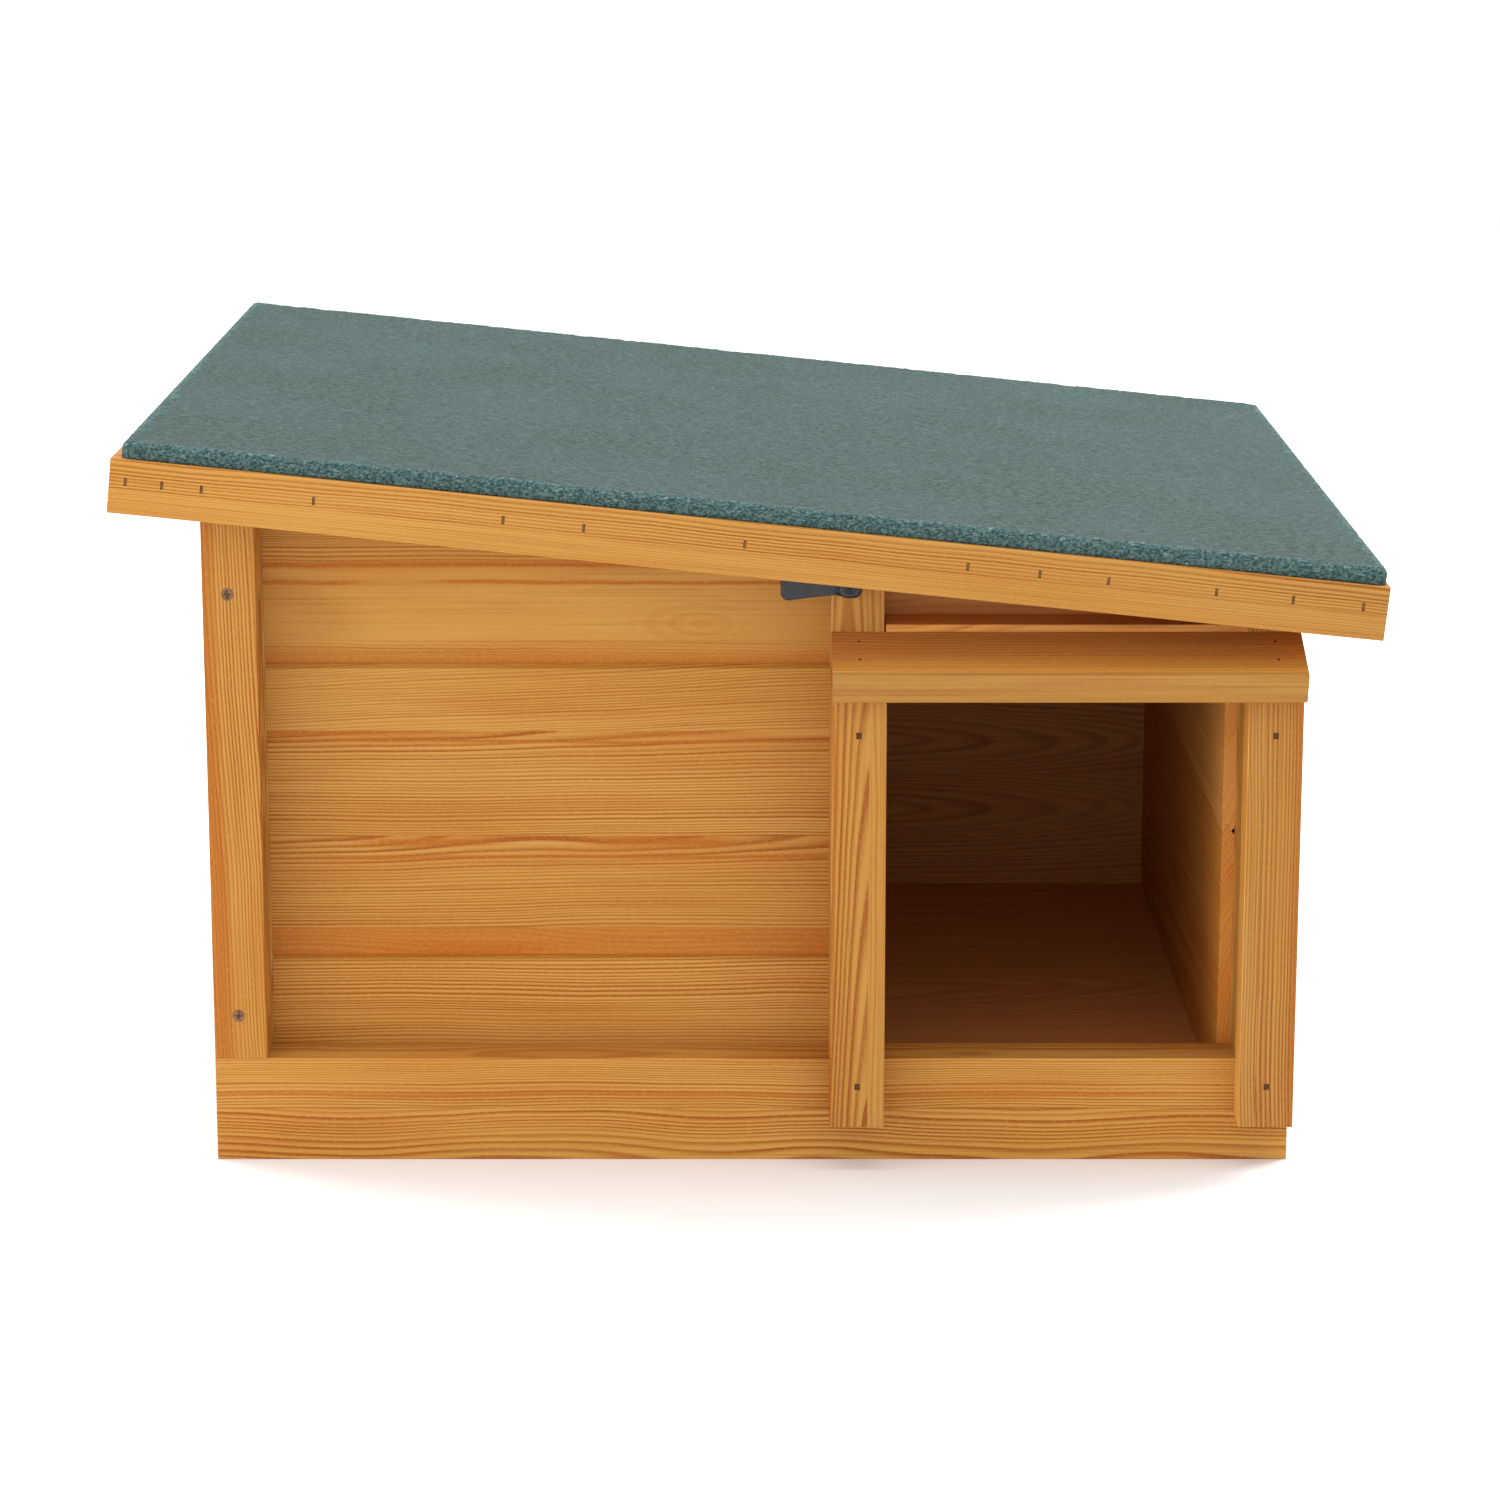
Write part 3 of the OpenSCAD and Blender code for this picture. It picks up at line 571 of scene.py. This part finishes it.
# Painted light and shade: the post's inner side face, up to POST_RIGHT_FACE, is made much lighter as though
# lit from the left, and its front darker.
wood(
    "porch_post_right", Z_AXIS, X_AXIS, Y_AXIS, 14.0,
    {"pith": 290.0, "depth": 14.0, "spacing": 1.5, "wave": 1.4, "contrast": 0.4, "shade": 1.45},
    {
        "from": POST_RIGHT_FACE, "log": 0, "pith": 290.0, "depth": 14.0, "spacing": 2.0, "wave": 1.8,
        "contrast": 1.1, "shade": 0.84,
    },
    {
        "from": 316.0, "log": 0, "pith": 290.0, "depth": 14.0, "spacing": 2.2, "wave": 1.8,
        "contrast": 1.25, "orange": 0.15, "shade": 0.85, "bands": ((341.0, 8.0, 0.7, 0.0),),
    },
)
# Painted light and shade: the canopy's top is made lighter and takes the pinkish shade tint, and its front
# face is made darker, for how the light falls on each.
wood(
    "canopy_board", X_AXIS, CANOPY_DOWN, Z_AXIS, 15.0,
    {
        "pith": 150.0, "depth": 12.0, "spacing": 2.2, "wave": 3.0, "contrast": 1.15, "orange": 0.55,
        "pink": 0.2, "shade": 1.2,
    },
    {
        "from": 203.0, "log": 0, "pith": 150.0, "depth": 12.0, "spacing": 2.2, "wave": 3.0, "contrast": 0.8,
        "orange": 0.2, "shade": 1.15,
    },
    {
        "from": 217.0, "pith": 400.0, "depth": 30.0, "spacing": 1.4, "wave": 0.8, "ripple": 0.2, "taper": 0.0,
        "contrast": 0.3, "shade": 0.74,
    },
)
# Painted light: the fascia is made darker from left to right, as the light from the left fades along it.
wood(
    "fascia_front", ROOF_U, ROOF_W, Y_AXIS, 16.0,
    {
        "pith": 500.0, "depth": 40.0, "spacing": 1.4, "wave": 1.2, "taper": 0.0, "contrast": 0.5,
        "shade": 0.93, "painted_light_run": -0.2,
    },
    {
        "from": 398.0, "log": 0, "pith": 425.0, "depth": 10.0, "spacing": 2.2, "wave": 2.2, "taper": 0.0,
        "contrast": 1.25, "shade": 0.93, "painted_light_run": -0.2,
    },
)
# Painted shade tint: the board takes the pinkish colour of the light inside the box, and is made a little
# lighter.
wood(
    "back_board_lower", X_AXIS, Z_AXIS, -Y_AXIS, 21.0,
    {
        "pith": 90.0, "depth": 4.0, "spacing": 3.2, "taper": 0.09, "wave": 1.4, "contrast": 0.8, "pink": 0.35,
        "shade": 1.05,
    },
    {
        "from": 117.0, "pith": 143.0, "depth": 4.0, "spacing": 3.2, "taper": 0.09, "wave": 1.4,
        "contrast": 0.8, "pink": 0.35, "shade": 1.05,
    },
)
wood(
    "back_board_middle", X_AXIS, Z_AXIS, -Y_AXIS, 17.0,
    {"pith": 250.0, "depth": 4.0, "spacing": 3.2, "taper": 0.08, "wave": 2.0, "contrast": 1.1},
)
wood(
    "back_board_upper", X_AXIS, Z_AXIS, -Y_AXIS, 20.0,
    {"pith": 300.0, "depth": 4.0, "spacing": 3.2, "taper": 0.1, "wave": 2.0, "contrast": 1.1},
)
# Painted light: the right wall's boards are made much lighter for their shaded inner face, with a little of
# the pinkish shade tint on the upper one.
wood(
    "right_board_upper", Y_AXIS, Z_AXIS, X_AXIS, 18.0,
    {
        "pith": 110.0, "depth": 250.0, "spacing": 3.0, "taper": 0.0, "slope": 0.06, "contrast": 0.35,
        "wave": 0.8, "ripple": 0.3, "shade": 1.38, "pink": 0.15, "end": 0.25,
    },
)
wood(
    "right_board_lower", Y_AXIS, Z_AXIS, X_AXIS, 19.0,
    {
        "pith": 40.0, "depth": 200.0, "spacing": 2.6, "taper": 0.0, "slope": 0.06, "contrast": 0.6,
        "wave": 0.8, "ripple": 0.3, "orange": 0.45, "shade": 1.35, "end": 0.15,
    },
)

timbers(["front_top_rail_left", "front_top_rail_right"], X_AXIS, Z_AXIS, Y_AXIS)
timbers(
    ["back_left_stile", "back_mid_stile", "back_right_stile"],
    Z_AXIS, X_AXIS, -Y_AXIS,
)
timbers(
    ["left_front_stile", "left_back_stile"],
    Z_AXIS, Y_AXIS, X_AXIS,
)
timbers(
    ["right_front_stile", "right_back_stile"],
    Z_AXIS, Y_AXIS, -X_AXIS,
)
timbers(
    ["back_bottom_rail", "back_top_rail", "plinth_back"],
    X_AXIS, Z_AXIS, -Y_AXIS,
)
timbers(
    [
        "left_board_lower", "left_board_middle", "left_board_upper",
        "left_bottom_rail", "left_top_rail", "plinth_left",
    ],
    Y_AXIS, Z_AXIS, X_AXIS,
)
timbers(["right_bottom_rail", "right_top_rail", "plinth_right"], Y_AXIS, Z_AXIS, -X_AXIS)
timbers(["fascia_back", "roof_batten_front", "roof_batten_back"], ROOF_U, ROOF_W, -Y_AXIS)
timbers(["fascia_left"], Y_AXIS, ROOF_W, ROOF_U)
timbers(["fascia_right"], Y_AXIS, ROOF_W, -ROOF_U)
timbers(["floor_bearers"], Y_AXIS, X_AXIS, Z_AXIS)
# Painted light and shade: the floor inside the box is made much lighter and takes the pinkish shade tint.
timbers(["floor_panel"], X_AXIS, Y_AXIS, -Z_AXIS, depth=120.0, pink=0.45, contrast=0.5, shade=1.4)
timbers(["roof_deck"], ROOF_U, Y_AXIS, ROOF_W, depth=120.0, contrast=0.5)


# ---- Metal and plastic ----


def metal(name, body, dull, roughness, metallic, specular=0.5):
    """Steel with blotches of duller plating or rust and fine pits. Without metallic it is nearly all rust."""
    shader = Shader(name)
    blotch = shader.noise(shader.place, scale=450.0, detail=3.0)
    pits = shader.noise(shader.place, scale=2600.0, detail=1.0)
    colour = shader.blend(shader.span(blotch, 0.4, 0.7), body, dull)
    colour = shader.blend(shader.span(pits, 0.55, 0.75, 0.0, 0.5), colour, shade(dull, 0.6))
    shader.bump(pits, 0.05 * MM, 0.6)
    gloss = shader.math("MULTIPLY_ADD", blotch, 0.25, roughness)
    return shader.finish(colour, gloss, metallic=metallic, specular_ior_level=specular)


PLASTIC_BODY = linear(31, 34, 39)
PLASTIC_RUBBED = linear(40, 43, 49)


def plastic():
    """Moulded plastic with a fine spark-eroded skin and slightly greyer rubbed patches"""
    shader = Shader("dark_plastic_skin")
    grain = shader.noise(shader.place, scale=3200.0, detail=2.0)
    mottle = shader.noise(shader.place, scale=260.0, detail=2.0)
    colour = shader.blend(shader.span(mottle, 0.35, 0.7), PLASTIC_BODY, PLASTIC_RUBBED)
    shader.bump(grain, 0.04 * MM, 0.5)
    return shader.finish(colour, shader.math("MULTIPLY_ADD", grain, 0.15, 0.36))


nail_steel = metal("nail_steel", linear(92, 62, 32), linear(68, 42, 20), 0.6, 0.0, 0.2)
dusty_nail_steel = metal("dusty_nail_steel", linear(128, 90, 48), linear(98, 64, 32), 0.65, 0.0, 0.2)
screw_steel = metal("screw_steel", linear(134, 97, 66), linear(98, 68, 46), 0.5, 0.1, 0.3)
black_steel = metal("black_steel", linear(44, 46, 50), linear(34, 35, 38), 0.4, 0.3)
hinge_steel = metal("hinge_steel", linear(138, 139, 137), linear(104, 105, 103), 0.32, 0.9)
dress(nail_steel, "porch_nails", "canopy_nails")
dress(dusty_nail_steel, "fascia_nails")
dress(screw_steel, "frame_screws")
dress(black_steel, "turn_button_screw")
dress(hinge_steel, "hinge_wall_leaves", "hinge_roof_leaves", "hinge_pins")
dress(hinge_steel, "hinge_wall_screws", "hinge_roof_screws")


# ---- New pieces ----


def new_piece(name, work, material, body, slot, *replaced):
    """Turns a bmesh into a piece of the object that rides on a body and stands for CAD nodes"""
    bmesh.ops.recalc_face_normals(work, faces=work.faces)
    mesh = bpy.data.meshes.new(name)
    work.to_mesh(mesh)
    work.free()
    mesh.materials.append(material)
    piece = bpy.data.objects.new(name, mesh)
    bpy.context.scene.collection.objects.link(piece)
    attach(piece, body)
    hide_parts(*replaced)
    return piece


def skin(work, lower, upper, smooth=True):
    """Quads between two closed rows of vertices"""
    count = len(lower)
    for index in range(count):
        after = (index + 1) % count
        face = work.faces.new((lower[index], lower[after], upper[after], upper[index]))
        face.smooth = smooth


# The turn button: a wing with rounded edges, its raised hub, the groove round it and the countersink for
# its screw. In millimetres from the point where the screw's line meets the stile.

BUTTON_CENTRE = Vector((60.4, -310.3, 372.0)) * MM
WING_REACH = 42.8
WING_THICK = 6.0
WING_WAIST = 5.3
WING_TIP = 8.9
WING_CORNER = 5.0
WING_FLARE = 1.3
HUB_RADIUS = 6.6
HUB_SKIRT = 7.5
HUB_SQUARENESS = 3.0
GROOVE_RADIUS = 9.2
GROOVE_DEPTH = 1.8
HUB_HEIGHT = 9.2
SEAT_RADIUS = 4.3
SEAT_DEPTH = 2.7
BORE_RADIUS = 2.2


def squared(angle):
    """How much further out a rounded square lies than a circle in it"""
    reach = abs(math.cos(angle)) ** HUB_SQUARENESS + abs(math.sin(angle)) ** HUB_SQUARENESS
    return reach ** (-1.0 / HUB_SQUARENESS)


def button_outline():
    """The wing and the round end as one line, anticlockwise round the pivot, in millimetres"""
    end_steps = 24
    side_steps = 9
    corner_steps = 8
    points = []
    join = math.radians(132.0)
    for step in range(end_steps + 1):
        angle = -join + 2 * join * step / end_steps
        radius = HUB_SKIRT * squared(angle)
        points.append((radius * math.cos(angle), radius * math.sin(angle)))
    upper = []
    start = HUB_SKIRT * -math.cos(join)
    for step in range(1, side_steps):
        share = step / side_steps
        width = WING_WAIST + (WING_TIP - WING_WAIST) * share ** WING_FLARE
        upper.append((-start - (WING_REACH - WING_CORNER - start) * share, width))
    for step in range(corner_steps + 1):
        angle = math.radians(90.0 + 90.0 * step / corner_steps)
        upper.append((
            -WING_REACH + WING_CORNER + WING_CORNER * math.cos(angle),
            WING_TIP - WING_CORNER + WING_CORNER * math.sin(angle),
        ))
    points += upper
    points += [(x, -z) for x, z in reversed(upper)]
    return points


def inset_outline(points, inset):
    """The outline moved inwards by a distance, along its own normals"""
    moved = []
    for index, (x, z) in enumerate(points):
        before = Vector(points[index - 1])
        after = Vector(points[(index + 1) % len(points)])
        run = (after - before).normalized()
        moved.append((x - run[1] * inset, z + run[0] * inset))
    return moved


def make_turn_button():
    """Rows of vertices from the bore over the back, the edge, the face, the groove and the hub"""
    work = bmesh.new()
    outline = button_outline()
    angles = [math.atan2(z, x) for x, z in outline]

    def row(places, out):
        made = []
        for x, z in places:
            made.append(work.verts.new(BUTTON_CENTRE + Vector((x, -out, z)) * MM))
        return made

    def ring(radius, out):
        return row([(radius * math.cos(angle), radius * math.sin(angle)) for angle in angles], out)

    def hub_ring(radius, inset, out):
        """A rounded square round the pivot that stays a little inside the outline"""
        places = []
        for (x, z), angle in zip(outline, angles):
            reach = min(radius * squared(angle), math.hypot(x, z) - inset)
            places.append((reach * math.cos(angle), reach * math.sin(angle)))
        return row(places, out)

    # Each row is (vertices, whether the faces that lead to it are smooth): the back and its small bevel, the
    # edge, the rounded front of the wing, the groove, the side and the rounded top of the hub, and the seat
    rows = [
        (ring(BORE_RADIUS, 0.0), False),
        (row(inset_outline(outline, 0.5), 0.0), False),
        (row(inset_outline(outline, 0.15), 0.15), True),
        (row(outline, 0.5), True),
        (row(outline, WING_THICK - 1.1), True),
        (row(inset_outline(outline, 0.1), WING_THICK - 0.65), True),
        (row(inset_outline(outline, 0.35), WING_THICK - 0.25), True),
        (row(inset_outline(outline, 0.8), WING_THICK), True),
        (hub_ring(GROOVE_RADIUS, 0.85, WING_THICK), False),
        (hub_ring(GROOVE_RADIUS - 0.2, 0.9, WING_THICK - GROOVE_DEPTH), False),
        (hub_ring(HUB_RADIUS + 0.05, 1.0, WING_THICK - GROOVE_DEPTH), False),
        (hub_ring(HUB_RADIUS, 1.05, HUB_HEIGHT - 1.3), True),
        (hub_ring(HUB_RADIUS - 0.4, 1.45, HUB_HEIGHT - 0.45), True),
        (hub_ring(HUB_RADIUS - 1.3, 2.3, HUB_HEIGHT), True),
        (ring(SEAT_RADIUS, HUB_HEIGHT), False),
        (ring(BORE_RADIUS, HUB_HEIGHT - SEAT_DEPTH), True),
    ]
    for position in range(1, len(rows)):
        skin(work, rows[position - 1][0], rows[position][0], rows[position][1])
    skin(work, rows[-1][0], rows[0][0], True)
    new_piece("turn_button_moulding", work, plastic(), "turn_button", "dark_plastic", "turn_button")


make_turn_button()


# The felt: one sheet over the deck with its edges turned down. Its cut rim is a rough band of loose fibres.
# In millimetres, in the roof's own directions from ROOF_ORIGIN.

FELT_LEFT = -383.0
FELT_RIGHT = 387.8
FELT_FRONT = -351.2
FELT_BACK = 345.2
FELT_TOP = 10.4
FELT_ROUND = 4.5
FELT_CORNER = 6.0
FELT_STEP = 1.05
DECK_LEFT = -379.2
DECK_RIGHT = 385.7
DECK_FRONT = -349.2
DECK_BACK = 343.2
DECK_TOP = 8.1
FELT_TUCK = 0.1
SHARP_CORNER = 0.5
TUFT_HEIGHT = 0.5
TUFT_PUFF = 0.35
RIM_WIDTH = 13.5
RIM_ROWS = 12
RIM_FADE = 3.0
RIM_SWING = 4.5
FLAT_INSETS = (FELT_ROUND + 17.0, FELT_ROUND + 26.0)
HEM_LIFT = 0.3


def felt_loop(left, right, front, back, corner, counts):
    """Points round a rounded rectangle with their outward directions, anticlockwise from its front left"""
    across, along, turn = counts
    sides = (
        (left + corner, front, right - corner, front, across, -90.0, right - corner, front + corner),
        (right, front + corner, right, back - corner, along, 0.0, right - corner, back - corner),
        (right - corner, back, left + corner, back, across, 90.0, left + corner, back - corner),
        (left, back - corner, left, front + corner, along, 180.0, left + corner, front + corner),
    )
    points = []
    for u0, y0, u1, y1, count, facing, centre_u, centre_y in sides:
        normal = (math.cos(math.radians(facing)), math.sin(math.radians(facing)))
        for step in range(count):
            share = step / count
            points.append((u0 + (u1 - u0) * share, y0 + (y1 - y0) * share, normal))
        for step in range(turn):
            angle = math.radians(facing + 90.0 * step / turn)
            out = (math.cos(angle), math.sin(angle))
            points.append((centre_u + corner * out[0], centre_y + corner * out[1], out))
    return points


def felt_profile():
    """(inset, height, how far the surface faces up) from the lower edge, round the rim and onto the top"""
    side_step = 1.15
    turn_steps = 7
    rows = [(0.0, FELT_TUCK + side_step * step, 0.0) for step in range(6)]
    for step in range(1, turn_steps + 1):
        angle = math.radians(90.0 * step / turn_steps)
        inset = FELT_ROUND * (1.0 - math.cos(angle))
        rows.append((inset, FELT_TOP - FELT_ROUND * (1.0 - math.sin(angle)), math.sin(angle)))
    for step in range(1, RIM_ROWS + 1):
        rows.append((FELT_ROUND + FELT_STEP * step, FELT_TOP, 1.0))
    return rows


def fibre_noise(place):
    """Tangled fibres: a coarse and a fine noise with ridges, from about -1 to 1. place is in millimetres."""
    coarse = noise.noise(place * 0.55)
    ridges = 1.0 - 2.4 * abs(noise.noise(place * 1.1 + Vector((9.0, 3.0, 5.0))))
    fine = noise.noise(place * 2.3)
    return 0.5 * coarse + 0.5 * ridges + 0.6 * fine


def make_felt():
    """The rim in fine rows that carry the fibres, then the flat middle and the hidden side"""
    work = bmesh.new()
    rim_layer = work.verts.layers.float.new("rim")
    tuft_layer = work.verts.layers.float.new("tuft")
    group = 4
    whole = group * group
    columns = (
        whole * round((FELT_RIGHT - FELT_LEFT) / FELT_STEP / whole),
        whole * round((FELT_BACK - FELT_FRONT) / FELT_STEP / whole),
        whole,
    )

    def vertex(u, y, w, rim=0.0, tuft=0.0):
        made = work.verts.new(ROOF_ORIGIN + (ROOF_U * u + Y_AXIS * y + ROOF_W * w) * MM)
        made[rim_layer] = rim
        made[tuft_layer] = tuft
        return made

    def rim_width(u, y):
        """How far the loose band reaches over the edge, in millimetres of surface"""
        slow = noise.noise(Vector((u, y, 0.0)) * 0.035)
        quick = noise.noise(Vector((u, y, 40.0)) * 0.16)
        return RIM_WIDTH + RIM_SWING * slow + RIM_SWING * quick

    rows = []
    travelled = 0.0
    previous = None
    for inset, height, up in felt_profile():
        if previous:
            travelled += math.dist(previous, (inset, height))
        previous = (inset, height)
        corner = max(FELT_CORNER - inset, SHARP_CORNER)
        places = felt_loop(
            FELT_LEFT + inset, FELT_RIGHT - inset, FELT_FRONT + inset, FELT_BACK - inset, corner, columns
        )
        made = []
        for u, y, out in places:
            tuft = fibre_noise(Vector((u, y, height)))
            edge = (rim_width(u, y) - travelled) / RIM_FADE + 0.5
            rim = min(max(edge, 0.0), 1.0)
            if inset > FELT_ROUND + (RIM_ROWS - 0.5) * FELT_STEP:
                rim = 0.0
            lift = rim * (TUFT_HEIGHT * tuft + TUFT_PUFF)
            if travelled == 0.0:
                lift = min(lift, HEM_LIFT)
            flat = math.sqrt(max(1.0 - up * up, 0.0))
            out_u = out[0] * flat * lift
            out_y = out[1] * flat * lift
            made.append(vertex(u + out_u, y + out_y, height + up * lift, rim, tuft))
        rows.append(made)
    for lower, upper in zip(rows, rows[1:]):
        skin(work, lower, upper)

    # Two steps of fewer columns, then the flat middle
    inner = rows[-1]
    counts = columns
    for inset in FLAT_INSETS:
        counts = tuple(count // group for count in counts)
        places = felt_loop(
            FELT_LEFT + inset, FELT_RIGHT - inset, FELT_FRONT + inset, FELT_BACK - inset, SHARP_CORNER, counts
        )
        outer = inner
        inner = [vertex(u, y, FELT_TOP) for u, y, out in places]
        for index in range(len(inner)):
            after = (index + 1) % len(inner)
            edge = [outer[(index * group + step) % len(outer)] for step in range(group + 1)]
            work.faces.new(edge + [inner[after], inner[index]])
    work.faces.new(inner)

    # The hidden side, which lies on the deck and round its edges
    under = felt_loop(DECK_LEFT, DECK_RIGHT, DECK_FRONT, DECK_BACK, SHARP_CORNER, columns)
    hem = [vertex(u, y, FELT_TUCK) for u, y, out in under]
    roof_side = [vertex(u, y, DECK_TOP) for u, y, out in under]
    skin(work, rows[0], hem, False)
    skin(work, hem, roof_side, False)
    work.faces.new(roof_side)
    new_piece("roof_felt_sheet", work, felt_material(), "roof", "mineral_felt", "roof_felt")


FELT_DARK = linear(20, 36, 35)
FELT_PALE = linear(75, 93, 89)
FELT_CLOUD = linear(66, 85, 83)
STRAY_FIBRE = linear(116, 136, 132)
# The shaggy rim's colours: mottled loose fibres, set lighter than the felt as painted light for the
# turned-down edge, which gets less light.
SHAG_DARK = linear(38, 60, 62)
SHAG_PALE = linear(94, 118, 114)
SHAG_FLECK = linear(122, 148, 143)
FLECK_STRETCH = (0.6, 1.0, 1.0)


def felt_material():
    """Grey-green mineral felt: matted flecks of two sizes, pale stray fibres and the shaggy rim, its colours
    partly painted light
    """
    shader = Shader("mineral_felt_mat")
    tree = shader.tree

    def attribute(name):
        node = tree.nodes.new("ShaderNodeAttribute")
        node.attribute_name = name
        return node.outputs["Fac"]

    rim = attribute("rim")
    tuft = attribute("tuft")
    stretched = shader.scaled(shader.place, FLECK_STRETCH)
    fleck = shader.noise(stretched, scale=800.0, detail=2.0, roughness=0.7)
    clump = shader.noise(stretched, scale=330.0, detail=3.0, roughness=0.6)
    cloud = shader.noise(shader.place, scale=9.0, detail=3.0)
    mat = shader.math("MULTIPLY_ADD", fleck, 0.55, shader.math("MULTIPLY", clump, 0.45))
    colour = shader.blend(shader.span(mat, 0.32, 0.68), FELT_DARK, FELT_PALE)
    colour = shader.blend(shader.span(cloud, 0.3, 0.7, 0.0, 0.25), colour, FELT_CLOUD)

    # Stray pale fibres: thin winding lines where one noise crosses its middle
    winding = shader.noise(shader.place, scale=170.0, detail=2.0, distortion=0.6)
    near = shader.math("ABSOLUTE", shader.math("SUBTRACT", winding, 0.5))
    stray = shader.math("MULTIPLY", shader.span(near, 0.0, 0.012, 1.0, 0.0), shader.span(fleck, 0.5, 0.6))
    stray = shader.math("MULTIPLY", stray, shader.span(cloud, 0.45, 0.7, 0.1, 0.6))
    colour = shader.blend(stray, colour, STRAY_FIBRE)

    # Painted light in part: the rim's colours are lighter than the felt's where the turned-down edge gets
    # less light.
    shag = shader.math("MULTIPLY_ADD", tuft, 0.22, shader.math("MULTIPLY_ADD", fleck, 1.5, -0.33))
    shag_colour = shader.blend(shader.span(shag, 0.2, 0.85), SHAG_DARK, SHAG_PALE)
    shag_colour = shader.blend(shader.span(clump, 0.6, 0.68, 0.0, 0.6), shag_colour, SHAG_FLECK)
    colour = shader.blend(rim, colour, shag_colour)
    height = shader.math("MULTIPLY_ADD", rim, shader.math("MULTIPLY", fleck, 0.6), mat)
    shader.bump(height, 0.5 * MM, 0.6)
    roughness = shader.math("MULTIPLY_ADD", fleck, 0.1, 0.82)
    return shader.finish(colour, roughness, specular_ior_level=0.15)


make_felt()


# ---- Studio ----

FLOOR_REACH = 6.0
WORLD_STRENGTH = 1.13
CAMERA_PLACE = (0.0, -2.9217, 0.8631)
CAMERA_DOWN = math.radians(12.85)
CAMERA_LENS = 103.18
CAMERA_SENSOR = 36.0
CAMERA_SHIFT = -0.00133
CAMERA_CLIP = 50.0

# Name, place, the point that it shines at, width and height in metres, and power in watts
SOFTBOXES = (
    ("key_softbox", (-2.5, -1.5, 0.9), (0.0, -0.3, 0.2), 1.3, 1.3, 15.0),
    ("top_softbox", (0.0, -0.3, 3.0), (0.0, -0.3, 0.0), 2.2, 1.6, 38.0),
    ("left_softbox", (-2.4, 1.3, 1.8), (-0.3, 0.1, 0.1), 1.6, 1.6, 58.0),
    ("right_softbox", (2.4, 1.3, 1.8), (0.4, 0.1, 0.1), 1.6, 1.6, 85.0),
)


def add_floor():
    """A plain white floor under the object"""
    mesh = bpy.data.meshes.new("studio_floor")
    work = bmesh.new()
    signs = ((-1, -1), (1, -1), (1, 1), (-1, 1))
    low = cad_box[0][2]
    work.faces.new([work.verts.new((x * FLOOR_REACH, y * FLOOR_REACH, low)) for x, y in signs])
    work.to_mesh(mesh)
    work.free()
    floor = bpy.data.objects.new("studio_floor", mesh)
    bpy.context.scene.collection.objects.link(floor)
    shader = Shader("studio_white")
    tone = shader.noise(shader.place, scale=3.0, detail=1.0)
    colour = shader.blend(tone, (0.87, 0.87, 0.87, 1.0), (0.89, 0.89, 0.89, 1.0))
    mesh.materials.append(shader.finish(colour, shader.math("MULTIPLY_ADD", tone, 0.02, 0.9)))


def add_softbox(name, place, aim, width, height, power):
    """A rectangular area light that points at a place"""
    light = bpy.data.lights.new(name, "AREA")
    light.shape = "RECTANGLE"
    light.size = width
    light.size_y = height
    light.energy = power
    holder = bpy.data.objects.new(name, light)
    bpy.context.scene.collection.objects.link(holder)
    holder.location = place
    holder.rotation_euler = (Vector(aim) - Vector(place)).to_track_quat("-Z", "Y").to_euler()


def add_camera():
    """The camera, level from side to side and looking a little down at the front"""
    camera = bpy.data.cameras.new("camera")
    camera.lens = CAMERA_LENS
    camera.sensor_width = CAMERA_SENSOR
    camera.shift_x = CAMERA_SHIFT
    camera.clip_end = CAMERA_CLIP
    holder = bpy.data.objects.new("camera", camera)
    bpy.context.scene.collection.objects.link(holder)
    holder.location = CAMERA_PLACE
    holder.rotation_euler = (math.radians(90.0) - CAMERA_DOWN, 0.0, 0.0)
    bpy.context.scene.camera = holder


def add_world():
    """White light from all round"""
    world = bpy.data.worlds.new("white_studio")
    world.use_nodes = True
    background = world.node_tree.nodes["Background"]
    background.inputs["Color"].default_value = (1.0, 1.0, 1.0, 1.0)
    background.inputs["Strength"].default_value = WORLD_STRENGTH
    bpy.context.scene.world = world
    bpy.context.scene.view_settings.view_transform = "Standard"


add_world()
add_floor()
for softbox in SOFTBOXES:
    add_softbox(*softbox)
add_camera()
